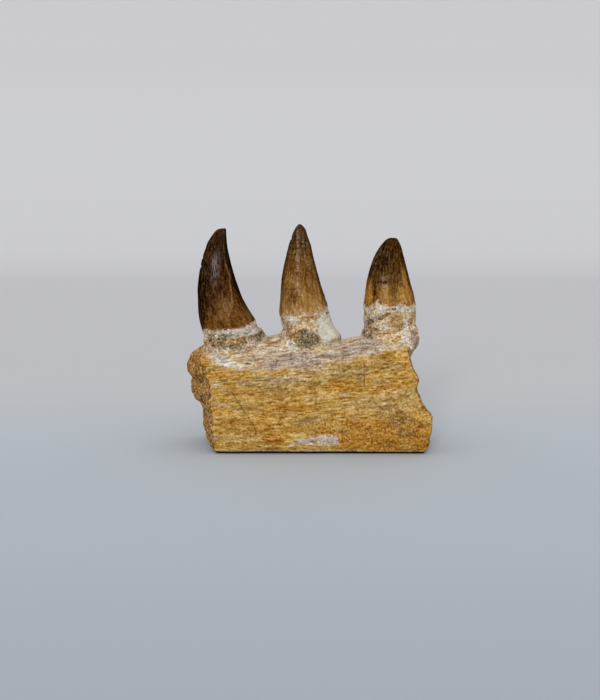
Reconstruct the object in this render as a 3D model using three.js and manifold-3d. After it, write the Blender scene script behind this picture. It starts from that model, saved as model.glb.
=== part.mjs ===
// A fossil mosasaur jaw: a broken length of jaw bone that stands on a sawn base, three teeth in their sockets,
// and a collar of cemented sand round the root of each tooth.
// Millimetres, +Z up. -Y is the outer side of the jaw, +X runs towards its back end, and the origin is the
// middle of the sawn base.
import * as THREE from "three";
import { ImprovedNoise } from "three/addons/math/ImprovedNoise.js";
import { mergeVertices } from "three/addons/utils/BufferGeometryUtils.js";
import Module from "manifold-3d";

// ---- driving dimensions -------------------------------------------------------------------------------------

const JAW_LENGTH = 120;
const JAW_THICKNESS = 40;
const FIT_GAP = 0.3; // clearance between two pieces that are cemented together

// The bone's two broken ends: how far out each reaches at a height, as [height, x].
const LEFT_END = [
  [0, -48.8],
  [6.6, -51.8],
  [14.6, -53.2],
  [18.6, -53.8],
  [24.6, -57],
  [29.6, -59],
  [35.6, -60.6],
  [40.6, -60.4],
  [44.6, -58.6],
  [48.6, -55],
  [51.6, -51],
];
const RIGHT_END = [
  [0, 55.5],
  [4, 58],
  [17.6, 60],
  [21.6, 58.6],
  [25.1, 54.8],
  [27.6, 52.4],
  [31.6, 51.6],
  [35.6, 52.3],
  [39.6, 51],
  [44.6, 49.4],
  [54.6, 49],
];
// The left break slopes towards the outer side: how much shorter the bone is at that side, as [height, x].
const LEFT_SLOPE = [
  [0, 5],
  [12, 7],
  [25, 11],
  [38, 13.5],
  [50, 9],
];
const LEFT_BREAK_BACK = 8; // the depth at which the left break reaches furthest out
const LEFT_BACK_ROUNDING = 4;
// How much shorter the bone is at its inner side on the right, as [height, x].
const RIGHT_SLOPE = [
  [0, 8],
  [25, 6.5],
  [36, 3.5],
  [46, 1],
];
const RIGHT_BREAK_FRONT = -15;

// The bone's top edge and the line where its outer face turns in, both as [x, height].
const CREST = [
  [-60, 49.1],
  [-50, 50.6],
  [-38, 52.6],
  [-24, 54.2],
  [-17, 55.6],
  [-8, 55],
  [8, 53],
  [18, 52.5],
  [26, 53.8],
  [38, 55.2],
  [50, 52.6],
];
const SHOULDER = [
  [-60, 37.6],
  [-36, 40.1],
  [-10, 41.6],
  [10, 44.1],
  [30, 47.1],
  [50, 48.6],
];

// The teeth. Each row is [depth below the tip, left edge x, right edge x, middle y, half depth in y].
// The rows below `crown` are the root, which stands in the socket.
const TEETH = [
  {
    side: "left",
    tip: [-40.6, 3.6, 106.8],
    crown: 47,
    sections: [
      [0.4, -43.2, -39.9, 3.5, 1.4],
      [2.3, -45.4, -39.8, 3.3, 2.4],
      [5.1, -47.1, -39.5, 3, 3.6],
      [8, -48.6, -39.2, 2.7, 4.7],
      [13.8, -50.9, -38.4, 2.1, 6.3],
      [19.5, -52.3, -37.2, 1.6, 7.6],
      [25.3, -53.2, -35.4, 1.1, 8.7],
      [31.1, -53.8, -33.2, 0.8, 9.7],
      [37, -53.7, -30.4, 0.5, 10.6],
      [42.8, -53.1, -27.3, 0.3, 11.3],
      [47, -52, -25.2, 0.2, 11.6],
      [53, -50, -25, 0.2, 11],
      [60, -48, -27, 0.4, 9.4],
      [67, -46, -30, 0.6, 7.6],
    ],
    collar: {
      low: 46.1,
      top: { front: 56.2, right: 58.2, back: 56, left: 56.2 },
      wall: { front: 3, right: 3.6, back: 3, left: 1.7 },
      seed: 3.1,
    },
  },
  {
    side: "middle",
    tip: [-4.3, 5.4, 108.8],
    crown: 45,
    sections: [
      [0.5, -5.5, -3.3, 5.3, 1.2],
      [2.4, -6.9, -1.6, 5, 2.3],
      [7.1, -8.8, -0.1, 4.3, 4],
      [12.9, -10.7, 1.8, 3.4, 5.6],
      [18.6, -12.4, 3.1, 2.6, 6.9],
      [24.4, -13.6, 4.5, 1.9, 8],
      [30.2, -14.2, 6, 1.3, 9],
      [36, -14.6, 7.9, 0.8, 9.9],
      [41.9, -14.6, 9.4, 0.4, 10.6],
      [45, -14.2, 10, 0.2, 10.8],
      [52, -12.6, 10, 0.2, 10.4],
      [60, -11, 8, 0.3, 9],
      [68, -9, 6, 0.5, 7.2],
    ],
    collar: {
      low: 46.1,
      top: { front: 61.1, right: 64.2, back: 59.1, left: 57.6 },
      wall: { front: 3.4, right: 4.2, back: 3.2, left: 2.2 },
      seed: 7.7,
    },
  },
  {
    side: "right",
    tip: [39.6, 3, 102.9],
    crown: 31.5,
    sections: [
      [0.5, 38, 42.1, 3, 1.9],
      [2.6, 36, 43.4, 2.8, 3.2],
      [7, 32.9, 45.2, 2.4, 5],
      [12.7, 30.2, 46.8, 2, 6.8],
      [18.5, 28.4, 48.4, 1.6, 8.2],
      [24.3, 27.2, 49.9, 1.2, 9.4],
      [30, 26.7, 51, 0.9, 10.3],
      [35, 26.8, 51.4, 0.7, 10.5],
      [41, 26.9, 51.4, 0.5, 10.3],
      [48, 27.6, 49.8, 0.5, 9.6],
      [56, 29.4, 45.6, 0.5, 8.4],
      [64, 31.5, 43.2, 0.6, 6.6],
    ],
    collar: {
      low: 45.1,
      top: { front: 58.2, right: 61.6, back: 58.1, left: 57.1 },
      wall: { front: 3, right: 5, back: 3.2, left: 2.6 },
      seed: 12.9,
    },
  },
];
const CARINA_HEIGHT = 0.06; // the cutting edge down each side of a tooth, as a share of its half width
const CARINA_WIDTH = 0.2; // radians
const FACET_HEIGHT = 0.014; // the flats down a crown, as a share of its half width
const FACETS = 11;
const OUTER_FLATTENING = 0.14; // a crown is flatter on its outer side and fuller on its inner side
const ROOT_ROUNDING = 6;

// ---- small helpers ------------------------------------------------------------------------------------------

const perlin = new ImprovedNoise();
const noise = (x, y, z) => perlin.noise(x, y, z);
const mix = THREE.MathUtils.lerp;
const { clamp, smoothstep } = THREE.MathUtils;

// A smooth curve through the rows of a table, read at the first column: value(at, column).
function smoothTable(rows) {
  const slope = (i, c) => {
    const a = rows[Math.max(i - 1, 0)];
    const b = rows[Math.min(i + 1, rows.length - 1)];
    return (b[c] - a[c]) / (b[0] - a[0]);
  };
  return (at, column = 1) => {
    const x = clamp(at, rows[0][0], rows[rows.length - 1][0]);
    let i = 0;
    while (i < rows.length - 2 && x > rows[i + 1][0]) i++;
    const [from, to] = [rows[i], rows[i + 1]];
    const span = to[0] - from[0];
    const t = (x - from[0]) / span;
    const rise = 3 * t * t - 2 * t * t * t;
    const bend = span * t * (1 - t);
    return (
      mix(from[column], to[column], rise) +
      bend * ((1 - t) * slope(i, column) - t * slope(i + 1, column))
    );
  };
}

const { Manifold, Mesh } = await loadManifold();

async function loadManifold() {
  const wasm = await Module();
  wasm.setup();
  return wasm;
}

// A closed skin with two poles: a sphere's mesh, each vertex put where place(turn, way) says. turn goes once
// round from 0 to 1, and way goes from the first pole at 0 to the last at 1.
function skin(around, along, place) {
  const sphere = new THREE.SphereGeometry(1, around, along);
  const spots = sphere.getAttribute("position");
  for (let i = 0; i < spots.count; i++) {
    const turn = (i % (around + 1)) / around;
    const way = Math.floor(i / (around + 1)) / along;
    const spot = place(turn % 1, way);
    spots.setXYZ(i, spot.x, spot.y, spot.z);
  }
  return solidFrom(sphere);
}

function solidFrom(geometry) {
  const bare = geometry.clone();
  bare.deleteAttribute("normal");
  bare.deleteAttribute("uv");
  const merged = mergeVertices(bare, 1e-4);
  return new Manifold(
    new Mesh({
      numProp: 3,
      vertProperties: merged.attributes.position.array,
      triVerts: new Uint32Array(merged.index.array),
    }),
  );
}

function geometryFrom(solid) {
  const { vertProperties, triVerts } = solid.getMesh();
  const geometry = new THREE.BufferGeometry();
  geometry.setAttribute("position", new THREE.BufferAttribute(vertProperties, 3));
  geometry.setIndex(new THREE.BufferAttribute(triVerts, 1));
  geometry.computeVertexNormals();
  return geometry;
}

// ---- the jaw bone -------------------------------------------------------------------------------------------

const BONE_CELLS = { length: 30, depth: 10, height: 13 };
const HALF = JAW_THICKNESS / 2;
const BASE_HALF = HALF - 2;
const BASE_FADE = 5; // the relief fades out over this height, so that the base stays flat
const CORE_HEIGHT = 24; // the height of the middle of each cross-section
const FIRST_SECTION = -54; // the crest and the shoulder are read from here to the last section
const LAST_SECTION = 50;
const LARGE_CRAG = { height: 2.4, width: 10, rise: 8 };
const SMALL_CRAG = { height: 1.4, width: 5, rise: 4 };
const LEFT_SEED = 2.3;
const RIGHT_SEED = 8.6;
const LONG_RIDGE = { height: 0.7, length: 34, width: 5, rise: 4.2 };
const SHORT_RIDGE = { height: 0.4, length: 14, width: 3, rise: 2.6 };
const SWELLING = { height: 1.2, length: 26, width: 17, rise: 15 };
const KNOB = { height: 1.1, length: 6, width: 5, lowest: 42, highest: 50 };
const LAYER_STEP = 0.7; // how far the surface drops where a layer of the outer face has flaked away
const LAYER_EDGE = { height: 21, slope: 0.03, wander: 2.2, length: 12, softness: 0.8 };
// How many spans of a cross-section's curve make the outer face, how many the top, and how many there are.
const FACE_SPANS = 4;
const TOP_SPANS = 5;
const SECTION_SPANS = 13;

const leftEnd = smoothTable(LEFT_END);
const rightEnd = smoothTable(RIGHT_END);
const leftSlope = smoothTable(LEFT_SLOPE);
const rightSlope = smoothTable(RIGHT_SLOPE);
const crest = smoothTable(CREST);
const shoulder = smoothTable(SHOULDER);

// The two breaks are rough, with large and small crags of spongy bone that fade out at the base.
function breakRoughness(y, z, seed) {
  const large = LARGE_CRAG.height * noise(seed, y / LARGE_CRAG.width, z / LARGE_CRAG.rise);
  const small = SMALL_CRAG.height * noise(seed + 5, y / SMALL_CRAG.width, z / SMALL_CRAG.rise);
  return (large + small) * smoothstep(z, 0, BASE_FADE);
}

function leftBreak(y, z) {
  const towardsFront = clamp((LEFT_BREAK_BACK - y) / (LEFT_BREAK_BACK + HALF), 0, 1);
  const towardsBack = Math.max(0, (y - LEFT_BREAK_BACK) / (HALF - LEFT_BREAK_BACK));
  const inset = leftSlope(z) * towardsFront ** 1.3 + LEFT_BACK_ROUNDING * towardsBack ** 2;
  return leftEnd(z) + inset + breakRoughness(y, z, LEFT_SEED);
}

function rightBreak(y, z) {
  const towardsBack = Math.max(0, (y - RIGHT_BREAK_FRONT) / (HALF - RIGHT_BREAK_FRONT));
  return rightEnd(z) - rightSlope(z) * towardsBack ** 1.4 + breakRoughness(y, z, RIGHT_SEED);
}

// The cross-section at x, from the front of the base up the outer face, over the crest and down the inner face.
function sectionCurve(x) {
  const top = crest(x);
  const turn = shoulder(x);
  return new THREE.SplineCurve([
    new THREE.Vector2(-BASE_HALF, 0),
    new THREE.Vector2(-HALF + 0.7, 5),
    new THREE.Vector2(-HALF, 20),
    new THREE.Vector2(-HALF + 0.6, turn - 7),
    new THREE.Vector2(-HALF + 2.8, turn + 1),
    new THREE.Vector2(-HALF + 8.5, mix(turn, top, 0.72)),
    new THREE.Vector2(-4, top - 0.6),
    new THREE.Vector2(4, top),
    new THREE.Vector2(11, top - 3.5),
    new THREE.Vector2(16, top - 12),
    new THREE.Vector2(HALF - 1.5, 28),
    new THREE.Vector2(HALF, 18),
    new THREE.Vector2(HALF - 0.6, 7),
    new THREE.Vector2(BASE_HALF, 0),
  ]);
}

// The point of a cross-section for the point (across, up) on the edge of a square that runs from -1 to 1.
function sectionPoint(curve, across, up) {
  const [faceEnd, topEnd] = [FACE_SPANS / SECTION_SPANS, (FACE_SPANS + TOP_SPANS) / SECTION_SPANS];
  if (up <= -1) return new THREE.Vector2(across * BASE_HALF, 0);
  if (across <= -1) return curve.getPoint(((up + 1) / 2) * faceEnd);
  if (up >= 1) return curve.getPoint(mix(faceEnd, topEnd, (across + 1) / 2));
  return curve.getPoint(mix(topEnd, 1, (1 - up) / 2));
}

// Bone flakes in layers along the jaw: long ridges, a step where a layer has come away, and low swellings.
const grain = ({ height, length, width, rise }, x, y, z) => height * noise(x / length, y / width, z / rise);

function boneRelief(x, y, z) {
  const wander = LAYER_EDGE.wander * noise(x / LAYER_EDGE.length, LEFT_SEED, 0);
  const edge = LAYER_EDGE.height + LAYER_EDGE.slope * x + wander;
  const above = smoothstep(z, edge - LAYER_EDGE.softness, edge + LAYER_EDGE.softness);
  const outerFace = smoothstep(-y, 0, HALF / 2);
  const knobs = grain({ ...KNOB, rise: Infinity }, x, y, z) * smoothstep(z, KNOB.lowest, KNOB.highest);
  const ridges = grain(LONG_RIDGE, x, y, z) + grain(SHORT_RIDGE, x, y, z);
  return ridges + grain(SWELLING, x, y, z) + knobs - LAYER_STEP * above * outerFace;
}

// The bone starts as a box from -1 to 1 on each axis. Its side faces wrap round the cross-sections, and its two
// end faces fill them.
function bonePoint(corner) {
  const out = Math.max(Math.abs(corner.y), Math.abs(corner.z), Number.EPSILON);
  const share = (corner.x + 1) / 2;
  const station = mix(FIRST_SECTION, LAST_SECTION, share);
  const rim = sectionPoint(sectionCurve(station), corner.y / out, corner.z / out);
  const relief = boneRelief(station, rim.x, rim.y) * smoothstep(rim.y, 0, BASE_FADE);
  const outward = new THREE.Vector2(rim.x, (rim.y - CORE_HEIGHT) * 0.7).normalize();
  rim.addScaledVector(outward, relief);
  const y = rim.x * out;
  const z = Math.max(mix(CORE_HEIGHT, rim.y, out), 0);
  return new THREE.Vector3(mix(leftBreak(y, z), rightBreak(y, z), share), y, z);
}

// Stretches a solid so that it is exactly this long and thick, and centred.
function fitTo(solid, length, thickness) {
  const { min, max } = solid.boundingBox();
  const centred = solid.translate([-(min[0] + max[0]) / 2, -(min[1] + max[1]) / 2, 0]);
  return centred.scale([length / (max[0] - min[0]), thickness / (max[1] - min[1]), 1]);
}

function boneBlank() {
  const { length, depth, height } = BONE_CELLS;
  const box = new THREE.BoxGeometry(2, 2, 2, length, depth, height);
  const spots = box.getAttribute("position");
  for (let i = 0; i < spots.count; i++) {
    const spot = bonePoint(new THREE.Vector3().fromBufferAttribute(spots, i));
    spots.setXYZ(i, spot.x, spot.y, spot.z);
  }
  return fitTo(solidFrom(box), JAW_LENGTH, JAW_THICKNESS);
}

// ---- the teeth ----------------------------------------------------------------------------------------------

const TOOTH_AROUND = 24;
const TOOTH_ALONG = 23;
const TIP_CROWDING = 1.6; // rings of the mesh crowd towards the tip by this power
const ENAMEL_FADE = 2; // the cutting edges and the flats fade out over this depth at the crown's margin

// A tooth's sections are read by the square root of the depth below the tip, which rounds the tip.
function toothForm(tooth) {
  const [tipX, tipY] = tooth.tip;
  const rows = [[0, tipX, tipX, tipY, 0], ...tooth.sections];
  const table = smoothTable(rows.map(([depth, ...rest]) => [Math.sqrt(depth), ...rest]));
  return (depth) => {
    const at = Math.sqrt(depth);
    const left = table(at, 1);
    const right = table(at, 2);
    return {
      x: (left + right) / 2,
      y: table(at, 3),
      halfWidth: Math.max((right - left) / 2, 0),
      halfDepth: Math.max(table(at, 4), 0),
    };
  };
}

// The crown's outline round one section: 1 at the two cutting edges and a little less between them.
function crownOutline(angle) {
  const fromEdge = Math.abs(Math.sin(angle)) / CARINA_WIDTH;
  const carina = CARINA_HEIGHT * (Math.exp(-fromEdge * fromEdge) - 1);
  const facets = FACET_HEIGHT * Math.cos(FACETS * angle) * Math.sin(angle) ** 2;
  return 1 + carina + facets;
}

// The point at this angle on a section. The angle runs anticlockwise from +X, seen from above.
function onSection(section, angle, grow, outline = 1) {
  const fullness = 1 + OUTER_FLATTENING * Math.sin(angle);
  return {
    x: section.x + (section.halfWidth * outline + grow) * Math.cos(angle),
    y: section.y + (section.halfDepth * outline * fullness + grow) * Math.sin(angle),
  };
}

function toothSolid(tooth, grow) {
  const form = toothForm(tooth);
  const length = tooth.sections[tooth.sections.length - 1][0] + grow;
  const place = (turn, way) => {
    const angle = Math.PI + turn * 2 * Math.PI;
    const depth = length * way ** TIP_CROWDING;
    const section = form(Math.min(depth, length - grow));
    const intoRoot = clamp((depth - length + ROOT_ROUNDING) / ROOT_ROUNDING, 0, 1);
    const closing = Math.sqrt(1 - intoRoot * intoRoot);
    const opening = Math.min(1, way * TOOTH_ALONG);
    section.halfWidth *= closing;
    section.halfDepth *= closing;
    const crownShare = 1 - smoothstep(depth, tooth.crown - ENAMEL_FADE, tooth.crown + ENAMEL_FADE);
    const outline = mix(1, crownOutline(angle), crownShare);
    const spot = onSection(section, angle, grow * opening * closing, outline);
    return new THREE.Vector3(spot.x, spot.y, tooth.tip[2] - depth);
  };
  return skin(TOOTH_AROUND, TOOTH_ALONG, place);
}

// ---- the collars of cemented sand ---------------------------------------------------------------------------

const COLLAR_AROUND = 24;
const COLLAR_ALONG = 10;
const COLLAR_FOOT = 0.7; // the wall's thickness at the foot and at the lip, as a share of its fullest
const COLLAR_LIP = 0.14;
const COLLAR_CAP = 0.3; // the share of the collar's mesh that each of its flat caps takes
const COLLAR_LUMPS = { perRadius: 2.2, perHeight: 1.5, lip: 2, wall: 0.6 }; // how close, and how strong at each

// A value given for the four sides of a tooth, blended for any angle round it.
function roundSides(sides, angle) {
  const [c, s] = [Math.cos(angle), Math.sin(angle)];
  return (c > 0 ? sides.right : sides.left) * c * c + (s > 0 ? sides.back : sides.front) * s * s;
}

function collarSolid(tooth, grow) {
  const form = toothForm(tooth);
  const { low, top, wall, seed } = tooth.collar;
  const rim = (angle, up) => {
    const { perRadius, perHeight } = COLLAR_LUMPS;
    const lumps = noise(seed + perRadius * Math.cos(angle), perRadius * Math.sin(angle), perHeight * up);
    const height = mix(low, roundSides(top, angle) + COLLAR_LUMPS.lip * lumps, up) + grow * (2 * up - 1);
    const taper = mix(COLLAR_FOOT, 1, smoothstep(up, 0, 0.4)) * mix(1, COLLAR_LIP, smoothstep(up, 0.5, 1));
    const outside = roundSides(wall, angle) * taper * (1 + COLLAR_LUMPS.wall * lumps) + grow;
    const spot = onSection(form(tooth.tip[2] - height), angle, outside);
    return new THREE.Vector3(spot.x, spot.y, height);
  };
  const middle = (up) => {
    const height = mix(low, (top.left + top.right) / 2, up) + grow * (2 * up - 1);
    const section = form(tooth.tip[2] - height);
    return new THREE.Vector3(section.x, section.y, height);
  };
  const place = (turn, way) => {
    const angle = Math.PI + turn * 2 * Math.PI;
    const up = 1 - clamp((way - COLLAR_CAP) / (1 - 2 * COLLAR_CAP), 0, 1);
    const spread = Math.min(1, Math.min(way, 1 - way) / COLLAR_CAP);
    return middle(up).lerp(rim(angle, up), spread);
  };
  return skin(COLLAR_AROUND, COLLAR_ALONG, place);
}

// ---- the finished object ------------------------------------------------------------------------------------

const BONE = new THREE.MeshStandardMaterial({ color: 0xb98f4d, roughness: 0.85, metalness: 0 });
const ENAMEL = new THREE.MeshStandardMaterial({ color: 0x6b4320, roughness: 0.28, metalness: 0 });
const SAND = new THREE.MeshStandardMaterial({ color: 0xb3a184, roughness: 0.95, metalness: 0 });

function piece(name, solid, material) {
  const mesh = new THREE.Mesh(geometryFrom(solid), material);
  mesh.name = name;
  return mesh;
}

const jaw = new THREE.Group();
let bone = boneBlank();
for (const tooth of TEETH) {
  const socket = toothSolid(tooth, FIT_GAP);
  bone = bone.subtract(collarSolid(tooth, FIT_GAP)).subtract(socket);
  const collar = collarSolid(tooth, 0).subtract(socket);
  jaw.add(piece(`tooth_${tooth.side}`, toothSolid(tooth, 0), ENAMEL));
  jaw.add(piece(`matrix_${tooth.side}`, collar, SAND));
}
jaw.add(piece("jaw_bone", bone, BONE));

export default jaw;
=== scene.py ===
"""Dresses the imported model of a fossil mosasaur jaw: the fine surface of the bone, the teeth and the
cemented sand, their finishes, and a small studio with its camera.

Sizes are in millimetres while a shape is worked out, and in metres once they are in a mesh. +X runs along the
jaw, -Y is its outer face, and +Z is up.
"""

import math

import bmesh
import bpy
import numpy as np
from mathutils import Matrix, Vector, noise
from mathutils.bvhtree import BVHTree


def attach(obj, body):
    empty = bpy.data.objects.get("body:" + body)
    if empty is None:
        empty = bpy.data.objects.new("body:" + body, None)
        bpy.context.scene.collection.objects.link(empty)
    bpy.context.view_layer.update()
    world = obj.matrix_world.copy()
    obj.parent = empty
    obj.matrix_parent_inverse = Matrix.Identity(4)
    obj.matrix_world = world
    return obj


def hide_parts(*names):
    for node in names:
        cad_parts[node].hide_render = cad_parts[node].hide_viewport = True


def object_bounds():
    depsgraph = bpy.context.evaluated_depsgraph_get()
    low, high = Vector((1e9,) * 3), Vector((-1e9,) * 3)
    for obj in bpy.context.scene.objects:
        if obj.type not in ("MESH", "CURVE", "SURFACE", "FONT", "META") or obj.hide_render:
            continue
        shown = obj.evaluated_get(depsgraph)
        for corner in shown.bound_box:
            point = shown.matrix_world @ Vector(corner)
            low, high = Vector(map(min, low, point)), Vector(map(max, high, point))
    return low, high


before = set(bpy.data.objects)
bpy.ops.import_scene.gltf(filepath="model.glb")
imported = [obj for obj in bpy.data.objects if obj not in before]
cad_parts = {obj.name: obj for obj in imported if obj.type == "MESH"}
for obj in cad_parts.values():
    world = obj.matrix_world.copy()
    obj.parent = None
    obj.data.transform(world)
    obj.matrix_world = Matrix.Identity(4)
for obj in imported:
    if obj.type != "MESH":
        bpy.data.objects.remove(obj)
cad_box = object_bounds()

MM = 0.001
JOIN_DISTANCE = 1e-6  # metres
SIDES = ("left", "middle", "right")

# ---- small helpers for shapes ----


def smooth(value, low, high):
    """0 below low and 1 above high, with a soft S between. It also runs downhill, where high is below low."""
    share = np.clip((np.asarray(value, float) - low) / (high - low), 0.0, 1.0)
    return share * share * (3.0 - 2.0 * share)


def blended(low, high, share):
    return low + (high - low) * share


def grain(points, size, seed):
    """Smooth noise from about -1 to 1, in lumps size millimetres long, which may differ along x, y and z."""
    scaled = points / np.asarray(size, float) + seed
    return np.array([noise.noise(spot) for spot in scaled.tolist()])


def cells(points, size, seed):
    """How far each point is from the nearest of many scattered seeds about size apart: 0 to about 1."""
    scaled = points / np.asarray(size, float) + seed
    return np.array([noise.voronoi(spot)[0][0] for spot in scaled.tolist()])


def moved_sides(x, height, share, trims):
    """x with both sides moved outwards by the trims read at each height.

    The trims are (height, left, right), and share runs from -1 at the left side to 1 at the right side.
    """
    heights, left, right = np.array(trims).T
    outwards = np.where(share > 0, np.interp(height, heights, right), -np.interp(height, heights, left))
    return x + outwards * smooth(np.abs(share), 0.0, 1.0)


def per_vertex(mesh, key):
    flat = np.empty(len(mesh.vertices) * 3)
    mesh.vertices.foreach_get(key, flat)
    return flat.reshape(-1, 3)


def points_of(mesh):
    return per_vertex(mesh, "co") / MM


def put_points(mesh, points):
    mesh.vertices.foreach_set("co", (points * MM).ravel())
    mesh.update()


def paint(mesh, **layers):
    """Keeps one number, or one vector, per vertex under each name for the material to read."""
    for name, values in layers.items():
        kind, key = ("FLOAT", "value") if values.ndim == 1 else ("FLOAT_VECTOR", "vector")
        layer = mesh.attributes.new(name, kind, "POINT")
        layer.data.foreach_set(key, values.astype(np.float32).ravel())


def shade_smooth(mesh):
    mesh.polygons.foreach_set("use_smooth", [True] * len(mesh.polygons))


def add_piece(name, mesh):
    piece = bpy.data.objects.new(name, mesh)
    bpy.context.scene.collection.objects.link(piece)
    return piece


def mesh_from(shape, name):
    """Turns a bmesh into a mesh."""
    mesh = bpy.data.meshes.new(name)
    shape.to_mesh(mesh)
    shape.free()
    return mesh


def sort_faces(shape):
    """Orders faces by their vertices: Blender makes those of a sphere in another order every time."""
    shape.verts.index_update()
    count = len(shape.verts)

    def place_in_order(face):
        first, second, third = sorted(vertex.index for vertex in face.verts)[:3]
        return (first * count + second) * count + third

    shape.faces.sort(key=place_in_order)


def refined_copy(node, square, passes):
    """A copy of a node in small, even squares, smoothed until it has lost the flats of the coarse shape."""
    shape = bmesh.new()
    shape.from_mesh(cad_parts[node].data)
    bmesh.ops.remove_doubles(shape, verts=shape.verts, dist=JOIN_DISTANCE)
    coarse = mesh_from(shape, f"{node}_surface")
    piece = add_piece(f"{node}_surface", coarse)
    remesh = piece.modifiers.new("even squares", "REMESH")
    remesh.mode = "VOXEL"
    remesh.voxel_size = square * MM
    fine = bpy.data.meshes.new_from_object(piece.evaluated_get(bpy.context.evaluated_depsgraph_get()))
    piece.modifiers.clear()
    piece.data = fine
    bpy.data.meshes.remove(coarse)
    shape = bmesh.new()
    shape.from_mesh(fine)
    axes = {"use_axis_x": True, "use_axis_y": True, "use_axis_z": True}
    for _ in range(passes):
        bmesh.ops.smooth_vert(shape, verts=shape.verts, factor=0.5, **axes)
    bmesh.ops.recalc_face_normals(shape, faces=shape.faces)
    shape.to_mesh(fine)
    shape.free()
    return piece


def surface_tree(mesh):
    """The surface of a mesh, ready for finding its nearest spots."""
    shape = bmesh.new()
    shape.from_mesh(mesh)
    tree = BVHTree.FromBMesh(shape)
    shape.free()
    return tree


def nearest_on(tree, points):
    """The spot of a surface that is nearest to each point, and how far off it is."""
    found = [tree.find_nearest(point) for point in (points * MM).tolist()]
    spots = np.array([tuple(hit[0]) for hit in found]) / MM
    return spots, np.array([hit[3] for hit in found]) / MM


# ---- stains ----

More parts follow.
